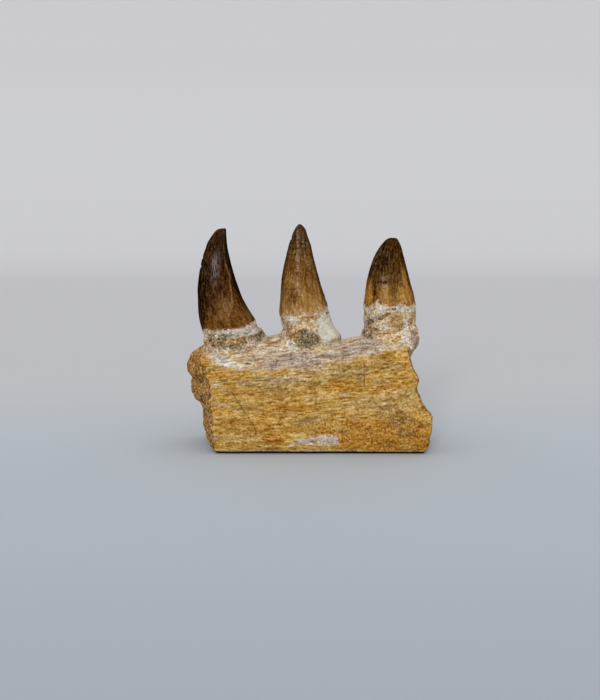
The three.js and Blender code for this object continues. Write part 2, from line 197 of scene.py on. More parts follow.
# Stains on the outer face, as (x, height, half length, half height, tilt in degrees, strength).
STAINS = {
    "bleached": [
        (-41, 44.4, 6.8, 1.8, -21, 1), (-36.6, 43.2, 3.2, 1.3, -14, 0.8), (8.9, 6.9, 5.6, 2.9, 0, 0.95),
        (-1.2, 6.5, 5.6, 2, 0, 0.9), (-8.2, 5, 2.9, 1.5, 0, 0.65), (-44.2, 33.2, 4.7, 1.2, 0, 0.58),
        (-34, 59.3, 11.5, 2, 14, 0.95), (-31.5, 57.2, 7.4, 1.8, 12, 0.95), (-7.3, 63, 1.9, 1.9, 0, 0.9),
        (-8.2, 51.6, 2.4, 1.9, 0, 0.9), (34.5, 68.4, 2.4, 1.9, 20, 0.8), (36, 60.3, 2.4, 1.7, 15, 0.8),
        (46.6, 57, 1.8, 6.2, -4, 0.95), (44.4, 68.9, 6.6, 1.5, 0, 0.7), (11.2, 48.5, 3.8, 0.9, 5, 0.85),
        (16, 21.9, 2.4, 0.5, 0, 0.8), (36.2, 38.8, 0.9, 0.4, 0, 1), (14.6, 29.2, 4.7, 0.5, 0, 0.6),
        (-38.1, 49.9, 2, 0.8, 0, 0.9), (-5, 1.6, 46, 0.8, 0, 0.5),
    ],
    "rusty": [
        (-44.1, 37.6, 4.7, 1.6, 0, 1), (1.3, 40.7, 4.3, 1.6, 5, 0.9), (-45.3, 22.4, 2.4, 1.7, 0, 1),
        (-4.4, 22.9, 8.6, 1.1, 1, 1), (-12.5, 22.4, 4.3, 1.6, 0, 0.8), (20.2, 33, 4.3, 2.2, 4, 0.9),
        (31.6, 30.6, 2.8, 1.1, 5, 0.85), (-17.8, 7.3, 5.3, 2.5, 8, 1), (-44.1, 4.8, 2.4, 1.1, 0, 0.9),
        (45.6, 45, 3.3, 3.8, 0, 0.6), (46.7, 36.9, 4.7, 3.8, 0, 0.6), (4.2, 13.6, 9.5, 3.2, 0, 0.45),
        (19, 6.5, 9, 5, 0, 0.95), (34, 9, 12, 8, 0, 0.95), (14.5, 33, 7.5, 2.6, 0, 0.95),
        (39, 33.5, 7, 3, 0, 0.65), (51, 9, 6, 8, 0, 0.95), (-36.5, 16, 9, 3.5, 0, 0.55),
        (-26, 11, 8, 4, 0, 0.55), (-32, 28.5, 10, 2.4, 3, 0.6), (47, 20.2, 5.5, 1.2, 4, 0.55),
        (21, 15, 7, 2, 0, 0.85), (6, 10.8, 4, 1.5, 0, 0.85), (15.6, 6, 3, 2.6, 0, 0.8),
        (12.3, 53.8, 5.7, 0.8, 8, 0.7), (0.4, 64.5, 5.7, 1.5, 10, 0.9), (-7.7, 58, 3.4, 3.8, 0, 0.85),
        (-35.3, 54.3, 4.8, 1.8, 8, 0.9), (-47.2, 51.9, 2.9, 0.8, 0, 1), (-41.9, 50.2, 1.9, 0.6, -8, 1),
        (41.7, 62.3, 3.4, 3.2, 0, 0.95), (30.8, 58.9, 2.4, 1.2, 0, 0.95),
        (36, 57.1, 3.8, 0.5, -3, 0.95), (49.3, 63.6, 1.4, 2.9, 0, 0.85), (42.5, 54, 3.6, 1.8, 0, 0.75),
        (-18.7, 51.8, 4, 1.1, 5, 0.75), (-49.4, 46.6, 2.8, 2.4, 0, 0.6),
    ],
    "umber": [
        (42.7, 17.5, 5.7, 5.2, -30, 0.72), (47.1, 10.7, 6, 4.2, 0, 0.6),
        (-29.6, 43.6, 2.4, 0.6, 4, 0.7), (1.6, 39.6, 3.4, 1, 6, 0.95), (38.7, 14.4, 0.8, 0.6, 0, 1),
        (-40.8, 35.6, 2.3, 0.7, 0, 0.95), (-43.2, 37.9, 1.9, 0.5, 0, 0.7),
        (-37.4, 5.3, 1.9, 1.2, 0, 0.9), (20.8, 18, 9.5, 0.5, 0, 0.85), (10.3, 20, 3.3, 3.2, -20, 0.6),
        (50.4, 41.5, 1, 3.6, 25, 0.9), (-46.9, 54.8, 1.9, 1.9, 0, 0.8), (-40.6, 56.2, 3.4, 0.6, 0, 0.8),
        (4.2, 59.8, 0.9, 2.6, 0, 0.62), (9.1, 66.1, 1, 0.6, 0, 0.95), (14.8, 54.8, 0.6, 0.9, 10, 0.8),
        (40.2, 68.9, 1.2, 0.7, 0, 1), (35.9, 65.4, 3.4, 0.9, 32, 1), (29.3, 61.8, 1.8, 1.8, 0, 0.7),
        (-36.2, 51.1, 2.4, 0.8, 0, 0.85), (-25.3, 56.1, 1.4, 1, 0, 0.85),
    ],
    "mauve": [
        (-2.4, 46.1, 16, 2.2, 2, 0.95), (-12, 36.4, 11, 1.6, 2, 0.66), (-31.5, 34.4, 4, 1.3, 0, 0.68),
        (0.5, 42.4, 9, 2.6, 4, 0.95), (27, 50.4, 8, 3, 5, 1), (-15, 42.4, 9, 1.2, 0, 0.85),
        (29.8, 52.1, 6.2, 1.9, 4, 0.95), (19.2, 48.6, 5.7, 2.2, 5, 0.95),
        (27.7, 60.4, 1.9, 3.4, 0, 0.75), (30.4, 63.8, 3, 2.6, 0, 0.7), (51.4, 54.4, 1.9, 5.3, 0, 0.75),
        (-47.5, 29.2, 1.9, 3.9, 0, 0.7), (-41.4, 24.3, 5.7, 1.7, 0, 0.6),
        (-46.3, 17.5, 2.2, 2.2, 0, 0.65), (-45.5, 8.3, 2.4, 1.8, 0, 0.7), (-24, 53.5, 4, 1.6, 0, 0.7),
        (-42, 34.8, 4, 0.7, 0, 0.8),
    ],
    "olive": [
        (-18.6, 35, 10.4, 3.8, 3, 1), (-6.8, 36.9, 9.5, 3.6, 3, 1), (16, 40, 18, 3.4, 6, 0.9),
        (-46.9, 41.7, 2.8, 1.5, 0, 1), (36, 43, 12, 3, 5, 0.6), (34.6, 35, 5, 2, 5, 0.9),
        (-14.6, 29.6, 10, 1.8, 2, 0.65), (-30, 21, 8, 1.3, 0, 0.6), (22, 27, 9, 1.2, 2, 0.5),
    ],
    "sandy": [
        (-1.4, 54.9, 6.2, 4.2, -12, 1), (-37.6, 54, 9, 3.1, 6, 1), (-25, 55.4, 3, 1.8, 10, 0.7),
        (29, 55.6, 4, 1.8, 0, 0.6),
    ],
    "fawn": [
        (41, 62, 9.5, 8.5, 0, 1), (-2.5, 60.5, 7, 5.5, 0, 0.7), (38.3, 27.4, 9.5, 4.2, 6, 1),
        (26.5, 23.6, 12, 3.4, 2, 0.95), (4, 27.5, 9, 1.8, 2, 0.7), (48, 26, 6.5, 5, 0, 0.95),
        (36, 21, 5, 2, 4, 0.85), (-30, 25, 9, 1.6, 0, 0.6), (-36, 8.5, 8, 3, 0, 0.6),
        (0, 17, 7, 2.2, 0, 0.8),
    ],
    "creamy": [(8.6, 62.2, 4.6, 3.6, -25, 1), (10.4, 57.8, 5.6, 5.2, 0, 1)],
    "speckled": [
        (31.4, 8.8, 27, 7.5, 2, 1), (6, 13.6, 11, 3.8, 0, 0.95), (45, 19, 9, 8, 0, 0.95),
        (-42, 6, 9, 3.5, 0, 0.7), (50, 32, 5, 12, 0, 0.55),
    ],
}
CRUST_STAINS = ("bleached", "rusty", "umber", "mauve", "olive", "sandy", "creamy", "fawn")
STAIN_SQUARENESS = 2.6  # 2 would make them ovals, and much more would make them oblongs
STAIN_REACH = 1.5  # a stain has faded out at this many times its size
INNER_SHIFT = 9.0  # the inner face carries the same stains, turned end for end and moved along


def fibre_space(points):
    """The points in a space whose first axis follows the bone's fibres, which climb towards the right."""
    climb = np.interp(points[:, 2], (8, 46), (0.01, 0.11))
    wander = 1.1 * grain(points, (45, 30, 26), 3.1)
    return np.column_stack((points[:, 0], points[:, 1], points[:, 2] - climb * points[:, 0] + wander))


def stained(along, height, stains):
    """How deep in a stain each point lies: 1 well inside, 0.5 on its rim, and 0 half of its size outside."""
    deepest = np.zeros(len(along))
    for x, z, half_length, half_height, tilt, strength in stains:
        turn = math.radians(tilt)
        ahead = (along - x) * math.cos(turn) + (height - z) * math.sin(turn)
        above = (height - z) * math.cos(turn) - (along - x) * math.sin(turn)
        across = np.abs(above / half_height)
        power = np.abs(ahead / half_length) ** STAIN_SQUARENESS + across**STAIN_SQUARENESS
        away = power ** (1 / STAIN_SQUARENESS)
        deepest = np.maximum(deepest, strength * np.clip(STAIN_REACH - away, 0, 1))
    return deepest


def paint_stains(mesh, points, along, share, kinds):
    """Paints every kind of stain on a mesh, each with a wandering outline, as strongly as share says."""
    along = along + 0.9 * grain(points, (5, 5, 3), 7.7)
    height = points[:, 2] + 0.6 * grain(points, (6, 5, 3), 4.2)
    paint(mesh, **{kind: stained(along, height, STAINS[kind]) * share for kind in kinds})


# ---- the jaw bone ----

BONE_SQUARE = 0.56  # millimetres between the points of its mesh
BONE_SMOOTHING = 16  # rounds
BASE_FADE = 2.6  # the relief fades in over this height, so that the sawn base stays flat
BASE_FLAT = 0.4  # what lies lower than this is the sawn base
BASE_REACH = 6.0  # how far up and in the worn lower edge reaches
BASE_GAPS = [(-50, 0.95), (-40, 0.7), (50, 0.35)]  # how high the worn edge stands off the ground, as (x, gap)
BROKEN_FACES = (0.42, 0.72)  # a face that looks this far sideways begins to be broken, and is wholly broken
LAYER_THICKNESS = 3.1  # the bone flakes off in layers as thick as this
LEDGE_HEIGHT = 0.3
LEDGE_ROUNDING = 0.16  # how much of a layer's thickness the foot of its ledge takes
PIT_DEPTH = 0.25
WEAVE_HEIGHT = 0.3  # the weave of the pale band
CELL_WALL = 0.46  # the hollows of the broken ends stop this far from their middles
CELL_DEPTH = 0.7
KNOCK_DEPTH = 0.25
CRACK_DEPTH = 0.25
RISE_BY_SAND = 0.3  # the bone rises by this much where it meets the sand
RISE_REACH = 1.6
END_REACH = 14.0  # the broken ends are trimmed over this length

# How far the two broken ends are moved outwards, as (height, left, right).
END_TRIMS = [
    (0, 0.6, -1), (1.7, 0.3, -0.5), (4.5, 0, 0), (8, 1, 0.2), (14, 0.8, -0.7), (18, 1.8, -0.5),
    (21, 2.4, -1.4), (24.4, 2.6, -2), (26.5, 1.8, -1.4), (28.5, 0.7, -0.6), (30.5, -0.6, -0.1),
    (32.5, -1.4, -0.2), (34.5, -0.2, -0.2), (36.5, 1.8, -0.5), (39.5, 0.8, -1), (43, 0.1, -0.3),
    (46, -0.6, 0.4), (49, -1, 1.4),
]

# The same for the two lower corners, which lie further in.
CORNER_TRIMS = [(0, 0.5, 1.2), (1.9, 1.2, 1.2), (4.0, 1.3, 0.5), (6.3, 0.1, 0.2), (8.1, 0, 0)]
CORNER_FROM = 34.0  # they are trimmed more and more from this far out
CORNER_REACH = 12.0

# Where the pale, fibrous band along the tooth sockets begins, as (x, height).
PALE_EDGE = [
    (-60, 50), (-51.6, 46.3), (-46.9, 44.4), (-39.4, 41), (-31.4, 40.6), (-22.4, 39.8), (-13.9, 40.9),
    (-4.4, 41.7), (4.1, 43.2), (13.6, 44.2), (20.2, 45.2), (26.7, 46.9), (35.7, 49.2), (45, 50.4), (60, 51),
]
# Cracks across the outer face, as (strength, run of (x, height)).
CRACKS = [
    (1.0, [(-37.1, 30.6), (-32.4, 23.4), (-29.1, 18.5), (-25.8, 13.1), (-25.4, 9.7)]),
    (0.9, [(-13.9, 18.5), (-12.3, 15.0), (-10.1, 11.7)]),
    (0.93, [(15.8, 43.8), (16.6, 39.0)]),
    (0.96, [(26.2, 44.6), (25.8, 39), (26.1, 33.0)]),
    (0.95, [(3.2, 27.7), (3.4, 21.4)]),
]
PALE_FADE = 5.0  # the painted value climbs from 0 to 1 over this height across the band's edge
CRACK_REACH = 2.0  # the painted value falls from 1 on a crack to 0 at this distance


def along_face(points):
    """Where along the outer face a point's stains are read. The inner face reads them from the other end."""
    return np.where(points[:, 1] < 0, points[:, 0], INNER_SHIFT - points[:, 0])


def near_crack(points):
    """As strong as the crack on it, falling to 0 at CRACK_REACH from it."""
    place = np.column_stack((along_face(points) + 0.3 * grain(points, 2.5, 9.3), points[:, 2]))
    strongest = np.zeros(len(points))
    for strength, run in CRACKS:
        for start, end in zip(run, run[1:]):
            start, way = np.array(start), np.array(end) - np.array(start)
            share = np.clip(((place - start) @ way) / (way @ way), 0, 1)
            off = np.linalg.norm(place - start - share[:, None] * way, axis=1)
            strongest = np.maximum(strongest, strength * (1 - off / CRACK_REACH))
    return strongest


def pale_band(points):
    """1 in the pale band over the sockets, 0.5 along its edge and 0 below it."""
    edge = np.interp(along_face(points), *zip(*PALE_EDGE)) + 1.1 * grain(points, (6, 9, 5), 1.7)
    return np.clip(0.5 + (points[:, 2] - edge) / PALE_FADE, 0, 1)


def layered_relief(fibres, pale):
    """Bone that has flaked in thin layers: ledges, long grooves and small pits, rougher in the pale band."""
    layer = fibres[:, 2] / LAYER_THICKNESS + fibres[:, 1] / 19 + 1.2 * grain(fibres, (22, 11, 8), 5.5)
    within = layer - np.floor(layer)
    flaked = blended(0.1, 1.0, smooth(grain(fibres, (12, 8, 4), 8.1), -0.15, 0.35))
    ledges = LEDGE_HEIGHT * flaked * (1 - within) * smooth(within, 0, LEDGE_ROUNDING)
    grooves = 0.16 * grain(fibres, (13, 3.2, 1.9), 2.4) + 0.13 * grain(fibres, (5, 1.9, 1.2), 6.2)
    pits = -PIT_DEPTH * smooth(grain(fibres, (3.0, 2.4, 1.5), 9.9), 0.32, 0.62)
    weave = WEAVE_HEIGHT * grain(fibres, (5.0, 1.8, 1.25), 3.8)
    weave -= PIT_DEPTH * smooth(grain(fibres, (3.2, 1.6, 1.2), 1.2), 0.2, 0.5)
    return ledges + grooves + pits + pale * weave


def spongy_relief(points):
    """The broken ends show the bone's spongy inside: crags, and hollows between thin walls."""
    crags = 0.55 * grain(points, (5.5, 6, 4.5), 6.6) + 0.35 * grain(points, 2.4, 2.2)
    hollows = -CELL_DEPTH * smooth(CELL_WALL - cells(points, (1.7, 1.9, 1.5), 0.4), 0, 0.3)
    return crags + hollows + 0.2


def base_lift(points, tree):
    """How far each point near the base is lifted: most at its worn outer edge, and not at all further in."""
    low = points[:, 2] < BASE_REACH
    above = np.column_stack((points[low, :2], np.full(low.sum(), BASE_REACH)))
    edge = np.clip(1 - nearest_on(tree, above)[1] / BASE_REACH, 0, 1)
    lift = np.zeros(len(points))
    gap = np.interp(points[low, 0], *zip(*BASE_GAPS))
    lift[low] = gap * edge**1.2 * (1 - points[low, 2] / BASE_REACH)
    return lift * (1 + 0.5 * grain(points, (9, 9, 9), 3.3))


def finish_bone(bone, sand_trees):
    mesh = bone.data
    whole = surface_tree(mesh)
    points, normals = points_of(mesh), per_vertex(mesh, "normal")
    fibres = fibre_space(points)
    pale = smooth(pale_band(points), 0.4, 0.6)
    broken = smooth(np.abs(normals[:, 0]) + 0.2 * grain(points, 2.4, 8.8), *BROKEN_FACES)
    crack = near_crack(points) * smooth(np.abs(normals[:, 1]), 0.4, 0.6)
    off_sand = np.min([nearest_on(tree, points)[1] for tree in sand_trees], axis=0)
    beside_sand = np.exp(-((off_sand / RISE_REACH) ** 2))
    knocks = smooth(grain(points, (7, 6, 5), 5.1), 0.25, 0.55)

    relief = blended(layered_relief(fibres, pale), spongy_relief(points), broken)
    relief += -KNOCK_DEPTH * knocks - CRACK_DEPTH * smooth(crack, 0.8, 0.97) + RISE_BY_SAND * beside_sand
    relief *= smooth(points[:, 2], 0.2, BASE_FADE)
    moved = points + normals * relief[:, None]
    moved[:, 2] = np.where(points[:, 2] < BASE_FLAT, 0.0, np.maximum(moved[:, 2], 0.0))
    moved[:, 2] += base_lift(points, whole)
    side, out = np.sign(moved[:, 0]), np.abs(moved[:, 0])
    near_end = side * np.clip(1 - (cad_box[1].x / MM - out) / END_REACH, 0, 1)
    near_corner = side * np.clip((out - CORNER_FROM) / CORNER_REACH, 0, 1)
    moved[:, 0] = moved_sides(moved[:, 0], moved[:, 2], near_end, END_TRIMS)
    moved[:, 0] = moved_sides(moved[:, 0], moved[:, 2], near_corner, CORNER_TRIMS)
    put_points(mesh, moved)
    shade_smooth(mesh)

    # painted shade: faces that look down near the base are marked here, and the finish paints them near black
    # as the dark line under the worn edge
    under = smooth(-normals[:, 2], 0.3, 0.8) * smooth(points[:, 2], 1.4, 0.5)
    paint(mesh, fibres=fibres, pale=pale_band(points), broken=broken, crack=crack)
    paint(mesh, hollow=smooth(-relief, -0.25, 0.45), under=under)
    paint_stains(mesh, points, along_face(points), smooth(np.abs(normals[:, 1]), 0.15, 0.4), STAINS)


# ---- the cemented sand ----

SAND_SQUARE = 0.42
SAND_SMOOTHING = 10
TOP_SHADE_SHARE = 0.6  # the painted shade on the top of the sand, as a share of a deep hollow's darkening
SAND_SWELL = 0.38  # the sand closes the clearance that its solid keeps to the teeth
FOOT_REACH = 3.2  # the sand's foot is drawn down to the bone within this distance of it
FOOT_PULL = 1.0
FOOT_FLARE = 0.9  # and it spreads outwards by this much as it gets there

# For each collar: where its middle is, how wide each side is, and how far its sides are moved outwards, as
# (height, left, right).
COLLARS = {
    "left": (-36.5, 15, [(50, 0, 0), (53, 0.9, 0), (55, 0, 0.2), (57, 0, 0.4)]),
    "middle": (-1, 13, [
        (54, 0, 0.8), (56, 0, 0), (58.5, -0.3, -0.7), (61, 0, -0.8), (63, 0.2, -0.6), (66, 0, 0),
    ]),
    "right": (39, 13, [
        (47, 0, 1.5), (50.3, 0, 1.5), (53, 0.5, -0.5), (56, 0.7, -1.2), (62, 0.2, -1), (64, 0, 0.3),
        (69, 0.4, 0.5),
    ]),
}


def finish_sand(side, sand, bone_tree):
    mesh = sand.data
    points, normals = points_of(mesh), per_vertex(mesh, "normal")
    fine = 0.12 * grain(points, 0.9, 5.3)
    lumps = 0.24 * grain(points, (4.5, 4, 3), 3.7) + 0.18 * grain(points, 1.8, 8.2) + fine
    creamy = smooth(stained(points[:, 0], points[:, 2], STAINS["creamy"]), 0.3, 0.7)
    lumps = blended(lumps, 0.08 * grain(points, 5, 6.1), creamy)
    spots, off = nearest_on(bone_tree, points)
    towards = (spots - points) / np.maximum(off, 0.05)[:, None]
    foot = np.clip(1 - off / FOOT_REACH, 0, 1) ** 2 * (1 + 0.5 * grain(points, 3, 4.4))
    moved = points + normals * (SAND_SWELL + lumps)[:, None] + towards * (FOOT_PULL * foot)[:, None]
    moved[:, :2] += normals[:, :2] * (FOOT_FLARE * foot)[:, None]
    middle, half_width, trims = COLLARS[side]
    share = np.clip((points[:, 0] - middle) / half_width, -1, 1)
    moved[:, 0] = moved_sides(moved[:, 0], points[:, 2], share, trims)
    put_points(mesh, moved)
    shade_smooth(mesh)
    # painted shade: the upward faces of the sand, which the lights reach most, are darkened like its hollows
    top_shade = TOP_SHADE_SHARE * smooth(normals[:, 2], 0.8, 0.98)
    paint(mesh, fibres=fibre_space(points), hollow=np.maximum(smooth(-lumps, -0.2, 0.35), top_shade))
    paint_stains(mesh, points, points[:, 0], 1.0, CRUST_STAINS)


# ---- the teeth ----

TOOTH_AROUND = 200
TOOTH_ALONG = 240
TIP_CROWDING = 1.4  # the rings crowd towards the tip by this power
CARINA = 0.05  # how far the cutting edges stand out, as a share of the half width
CARINA_WIDTH = 0.11  # how far round they reach, in radians
FLATS = 11  # shallow flats run down a crown, side by side
ENAMEL_STEP = 0.25  # how far the enamel stands over the root at its margin
STEP_EDGE = 0.25  # that step is rounded over this distance to each side of it
TIP_ROOM = 5.0  # the flats, rings and steps fade in over this depth below the tip
RING_THICKNESS = 0.02  # points of the tooth's solid within this height of each other make a ring
MARGIN_REACH = 6.0  # the painted value falls from 1 to 0 over this distance across the enamel's margin
FLOW_RADIUS = 10.0  # a tooth is unrolled to a cylinder of this radius for its streaks

# The facts about each tooth:
# - margin: the height where its enamel ends at the left, outer, right and inner sides
# - seed: a number of its own for its noise
# - flat_depth and ring_depth: how deep the flats down its crown and the rings across them are
# - raggedness: how far its enamel's margin wanders
# - tongues: crust that reaches up over the margin on the outer face, as (x, half width, rise)
# - trims: how far its sides are moved outwards, as (height, left, right)
# - worn: the height of the flat worn on its tip, if it has one
# - chips: (x, height, radius, depth)
# - light, gloss and dark: marks on the enamel, given as stains are; the gloss marks set where the coat shines
#   and where a painted highlight lies
TEETH = {
    "left": {
        "margin": (57.6, 59.1, 62.1, 59.5),
        "seed": 1.3,
        "flat_depth": 0.06,
        "ring_depth": 0.02,
        "raggedness": 0.45,
        "tongues": [(-50.0, 1.5, 0.6)],
        "trims": [
            (56, 1.1, 0.2), (60, 0.8, 0.3), (64, 0.6, 0.3), (68, 0.4, 0), (73, 0.2, -0.3), (79, 0.6, 0),
            (87, 0.7, 0.1), (93, 0.8, -0.1), (97, 0.9, -0.4), (100, 1.3, -0.4), (104.5, 0.8, -0.3),
        ],
        "worn": None,
        "chips": [(-52.3, 88.4, 1.2, 0.4), (-50.6, 92.5, 1.0, 0.25)],
        "light": [
            (-39.2, 87, 0.3, 4, 18, 0.9), (-37.8, 79.5, 0.3, 4.6, 8, 1), (-37, 72.5, 0.35, 3.5, 4, 1),
            (-41, 68, 5, 6.5, 0, 0.62), (-29, 66, 1.6, 5, 30, 0.55),
        ],
        "gloss": [(-45.4, 90.6, 1.2, 4.0, -5, 0.95), (-45.0, 88.0, 2.4, 8.0, -5, 0.52)],
        "dark": [(-50.5, 75.0, 2.6, 14.0, -4, 0.8), (-44.5, 100.0, 3.0, 6.0, -25, 0.7)],
    },
    "middle": {
        "margin": (64.8, 66.2, 69.2, 66),
        "seed": 5.9,
        "flat_depth": 0.13,
        "ring_depth": 0.09,
        "raggedness": 1.2,
        "tongues": [],
        "trims": [
            (66, 0, 0.4), (70, -0.4, 0.4), (73, -0.6, 0.2), (82, -0.45, 0.05), (90, -0.45, -0.2),
            (95, -0.2, -0.35), (99, 0.05, 0), (104, 0, -0.2),
        ],
        "worn": None,
        "chips": [(-8.6, 101.7, 0.9, 0.35)],
        "light": [(0, 72, 7, 4, -10, 0.6), (1.5, 68, 6.5, 2.4, 4, 0.9)],
        "gloss": [
            (-5.4, 102, 0.7, 4.6, 0, 0.82), (-5.3, 91.5, 0.75, 5.5, 1, 0.86),
            (-2.8, 101, 0.5, 4.5, 3, 0.6), (-2, 92.5, 0.4, 3, 4, 0.5), (-5.2, 80.5, 1.2, 4, 0, 0.55),
        ],
        "dark": [
            (-4.9, 97.4, 9, 0.5, 0, 1), (-4.9, 94.4, 9, 0.34, 0, 0.9), (-7.6, 101.5, 0.9, 4.5, -6, 0.9),
            (-4.1, 101.5, 0.4, 5, 0, 0.9), (-1.2, 101, 0.8, 5, 6, 0.9), (-9.2, 78.1, 2.6, 0.4, 0, 0.95),
            (-4.6, 102, 6, 5, 0, 0.66), (-8, 73.5, 2.6, 4, 0, 0.6),
        ],
    },
    "right": {
        "margin": (70.2, 70.4, 70.6, 69.8),
        "seed": 9.4,
        "flat_depth": 0.07,
        "ring_depth": 0.03,
        "raggedness": 1.0,
        "tongues": [(32.2, 1.7, 2.8), (43.5, 1.5, 1.0), (28.0, 1.0, -0.9)],
        "trims": [
            (70, 0.3, 0.7), (72, -0.2, 0.5), (76, -0.4, 0.3), (80, -0.35, -0.1), (90, -0.2, 0),
            (94, 0, 0), (99, -0.1, 0.3), (101, -0.3, 0.2), (102.2, -0.9, 0),
        ],
        "worn": 102.2,
        "chips": [],
        # the last of these marks, high on the left edge, is a painted highlight; the others are pale colour
        # of the enamel
        "light": [
            (28.8, 76.6, 1.7, 6.4, 4, 1), (35.9, 76.4, 2.8, 4.2, 0, 0.62),
            (45.8, 74.8, 3.8, 4.6, 0, 0.8), (46.2, 83, 1.6, 7, 8, 0.66), (32, 93, 0.8, 7, -28, 0.55),
        ],
        "gloss": [
            (36.4, 83.4, 2.2, 1.3, 4, 0.6), (36.4, 79.6, 3, 1.1, -3, 0.66), (36.2, 76, 1.8, 3, 0, 0.5),
        ],
        "dark": [
            (34.1, 81.4, 3.4, 0.5, 2, 1), (35, 92.5, 3.6, 7, -20, 0.6), (31.3, 79.5, 0.8, 5.4, 0, 0.9),
        ],
    },
}
CHIP_EDGE = 0.6  # a chip reaches its depth this far in from its rim
WORN_EDGE = 0.25  # how softly the flat on a worn tip is rounded off


def smooth_rows(rows, at):
    """Values read off rows of numbers along a smooth curve. The first column says where each row lies."""
    places = rows[:, 0]
    slopes = np.gradient(rows[:, 1:], places, axis=0)
    i = np.clip(np.searchsorted(places, at) - 1, 0, len(places) - 2)
    span = (places[i + 1] - places[i])[:, None]
    t = np.clip((at[:, None] - places[i][:, None]) / span, 0, 1)
    start, end = rows[i, 1:], rows[i + 1, 1:]
    rise = 3 * t**2 - 2 * t**3
    bend = span * t * (1 - t) * ((1 - t) * slopes[i] - t * slopes[i + 1])
    return start + (end - start) * rise + bend


def tooth_rows(node):
    """The height of a tooth's tip, and the outline of its solid ring by ring: the square root of the depth
    under the tip, left and right x, y of the cutting edges, front and back y."""
    points = points_of(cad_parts[node].data)
    top = points[:, 2].max()
    depths = np.unique(np.round(top - points[:, 2], 2))
    rows = []
    for depth in depths:
        ring = points[np.abs(top - points[:, 2] - depth) < RING_THICKNESS]
        left, right = ring[ring[:, 0].argmin()], ring[ring[:, 0].argmax()]
        edge_y = (left[1] + right[1]) / 2
        rows.append((math.sqrt(depth), left[0], right[0], edge_y, ring[:, 1].min(), ring[:, 1].max()))
    return top, np.array(rows)


def round_the_sides(sides, angle):
    """A value given at the left, outer, right and inner sides of a tooth, blended for any angle round it."""
    left, outer, right, inner = sides
    c, s = np.cos(angle), np.sin(angle)
    return np.where(c > 0, right, left) * c**2 + np.where(s > 0, inner, outer) * s**2


def make_tooth(side, facts):
    top, rows = tooth_rows(f"tooth_{side}")
    shape = bmesh.new()
    bmesh.ops.create_uvsphere(shape, u_segments=TOOTH_AROUND, v_segments=TOOTH_ALONG, radius=1.0)
    sort_faces(shape)
    mesh = mesh_from(shape, f"tooth_{side}_surface")
    ball = points_of(mesh) * MM
    angle = np.arctan2(ball[:, 1], ball[:, 0])
    way = np.arccos(np.clip(ball[:, 2], -1, 1)) / math.pi
    depth = rows[-1, 0] ** 2 * way**TIP_CROWDING
    left, right, edge_y, front, back = smooth_rows(rows, np.sqrt(depth)).T
    height = top - depth

    flow = np.column_stack((FLOW_RADIUS * np.cos(angle), FLOW_RADIUS * np.sin(angle), depth)) + facts["seed"]
    ragged = facts["raggedness"] * (grain(flow, (2.6, 2.6, 9), 1.1) + 0.6 * grain(flow, (1.0, 1.0, 5), 4.4))
    over_margin = height - round_the_sides(facts["margin"], angle) + ragged
    middle, half_width = (left + right) / 2, (right - left) / 2
    for tongue_x, width, rise in facts["tongues"]:
        away = (middle + half_width * np.cos(angle) - tongue_x) / width
        over_margin -= rise * np.exp(-(away**2)) * (angle < 0)
    crown = smooth(over_margin, -STEP_EDGE, STEP_EDGE)
    ridge = np.exp(-((np.sin(angle) / CARINA_WIDTH) ** 2))
    room = smooth(depth, 0, TIP_ROOM)
    shrink = 1 - CARINA * crown * (1 - ridge) * room
    across = np.sin(angle) ** 2
    flats = np.cos(FLATS * angle + 0.9 * grain(flow, (30, 30, 22), 2.0))
    rings = grain(flow, (9, 9, 1.5), 7.1)
    swell = facts["flat_depth"] * crown * room * across * flats
    swell += 0.14 * room * grain(flow, (7, 7, 24), 3.3) + facts["ring_depth"] * room * rings
    swell -= ENAMEL_STEP * (1 - crown) * room
    root_lumps = 0.35 * grain(flow, (4.5, 4.5, 4), 5.0) + 0.25 * grain(flow, (1.7, 1.7, 1.6), 6.0)
    swell += (1 - crown) * root_lumps
    x = middle + half_width * shrink * np.cos(angle)
    y = edge_y + np.where(angle > 0, back - edge_y, edge_y - front) * np.sin(angle)
    chipped = np.zeros(len(x))
    for chip_x, chip_height, radius, deep in facts["chips"]:
        away = np.sqrt((x - chip_x) ** 2 + (height - chip_height) ** 2 + (0.6 * (y - edge_y)) ** 2)
        away += 0.35 * grain(flow, 0.8, 2.9)
        inside = smooth(away, radius, radius - CHIP_EDGE)
        swell -= deep * inside
        chipped = np.maximum(chipped, inside)
    x += swell * np.cos(angle)
    y += swell * np.sin(angle)
    x = moved_sides(x, height, np.cos(angle), facts["trims"])
    if facts["worn"]:
        over = (facts["worn"] + 0.12 * grain(flow, 1.5, 4.9) - height) / WORN_EDGE
        height = height + WORN_EDGE * (over - np.logaddexp(0, over))
    points = np.column_stack((x, y, height))
    put_points(mesh, points)
    shade_smooth(mesh)

    margin = np.clip(0.5 + over_margin / MARGIN_REACH, 0, 1)
    grown = depth / (top - min(facts["margin"]))
    paint(mesh, flow=flow, fibres=fibre_space(points), margin=margin, grown=grown, chipped=chipped)
    paint(mesh, sideways=np.abs(np.cos(angle)), leftward=-np.cos(angle))
    place = (x + 0.15 * grain(flow, (2, 2, 5), 8.8), height + 0.12 * grain(flow, (3, 3, 3), 6.8))
    light, dark, gloss = (stained(*place, facts[name]) for name in ("light", "dark", "gloss"))
    paint(mesh, light=light, dark=dark, gloss=gloss * (y < edge_y))
    paint_stains(mesh, points, x, 1.0, CRUST_STAINS)
    return add_piece(f"tooth_{side}_surface", mesh)


# ---- making materials ----


def tone(red, green, blue):
    """A colour given by its everyday 0 to 255 values, as the linear colour that a shader takes."""
    shares = (red / 255, green / 255, blue / 255)
    return (*(c / 12.92 if c <= 0.04045 else ((c + 0.055) / 1.055) ** 2.4 for c in shares), 1.0)


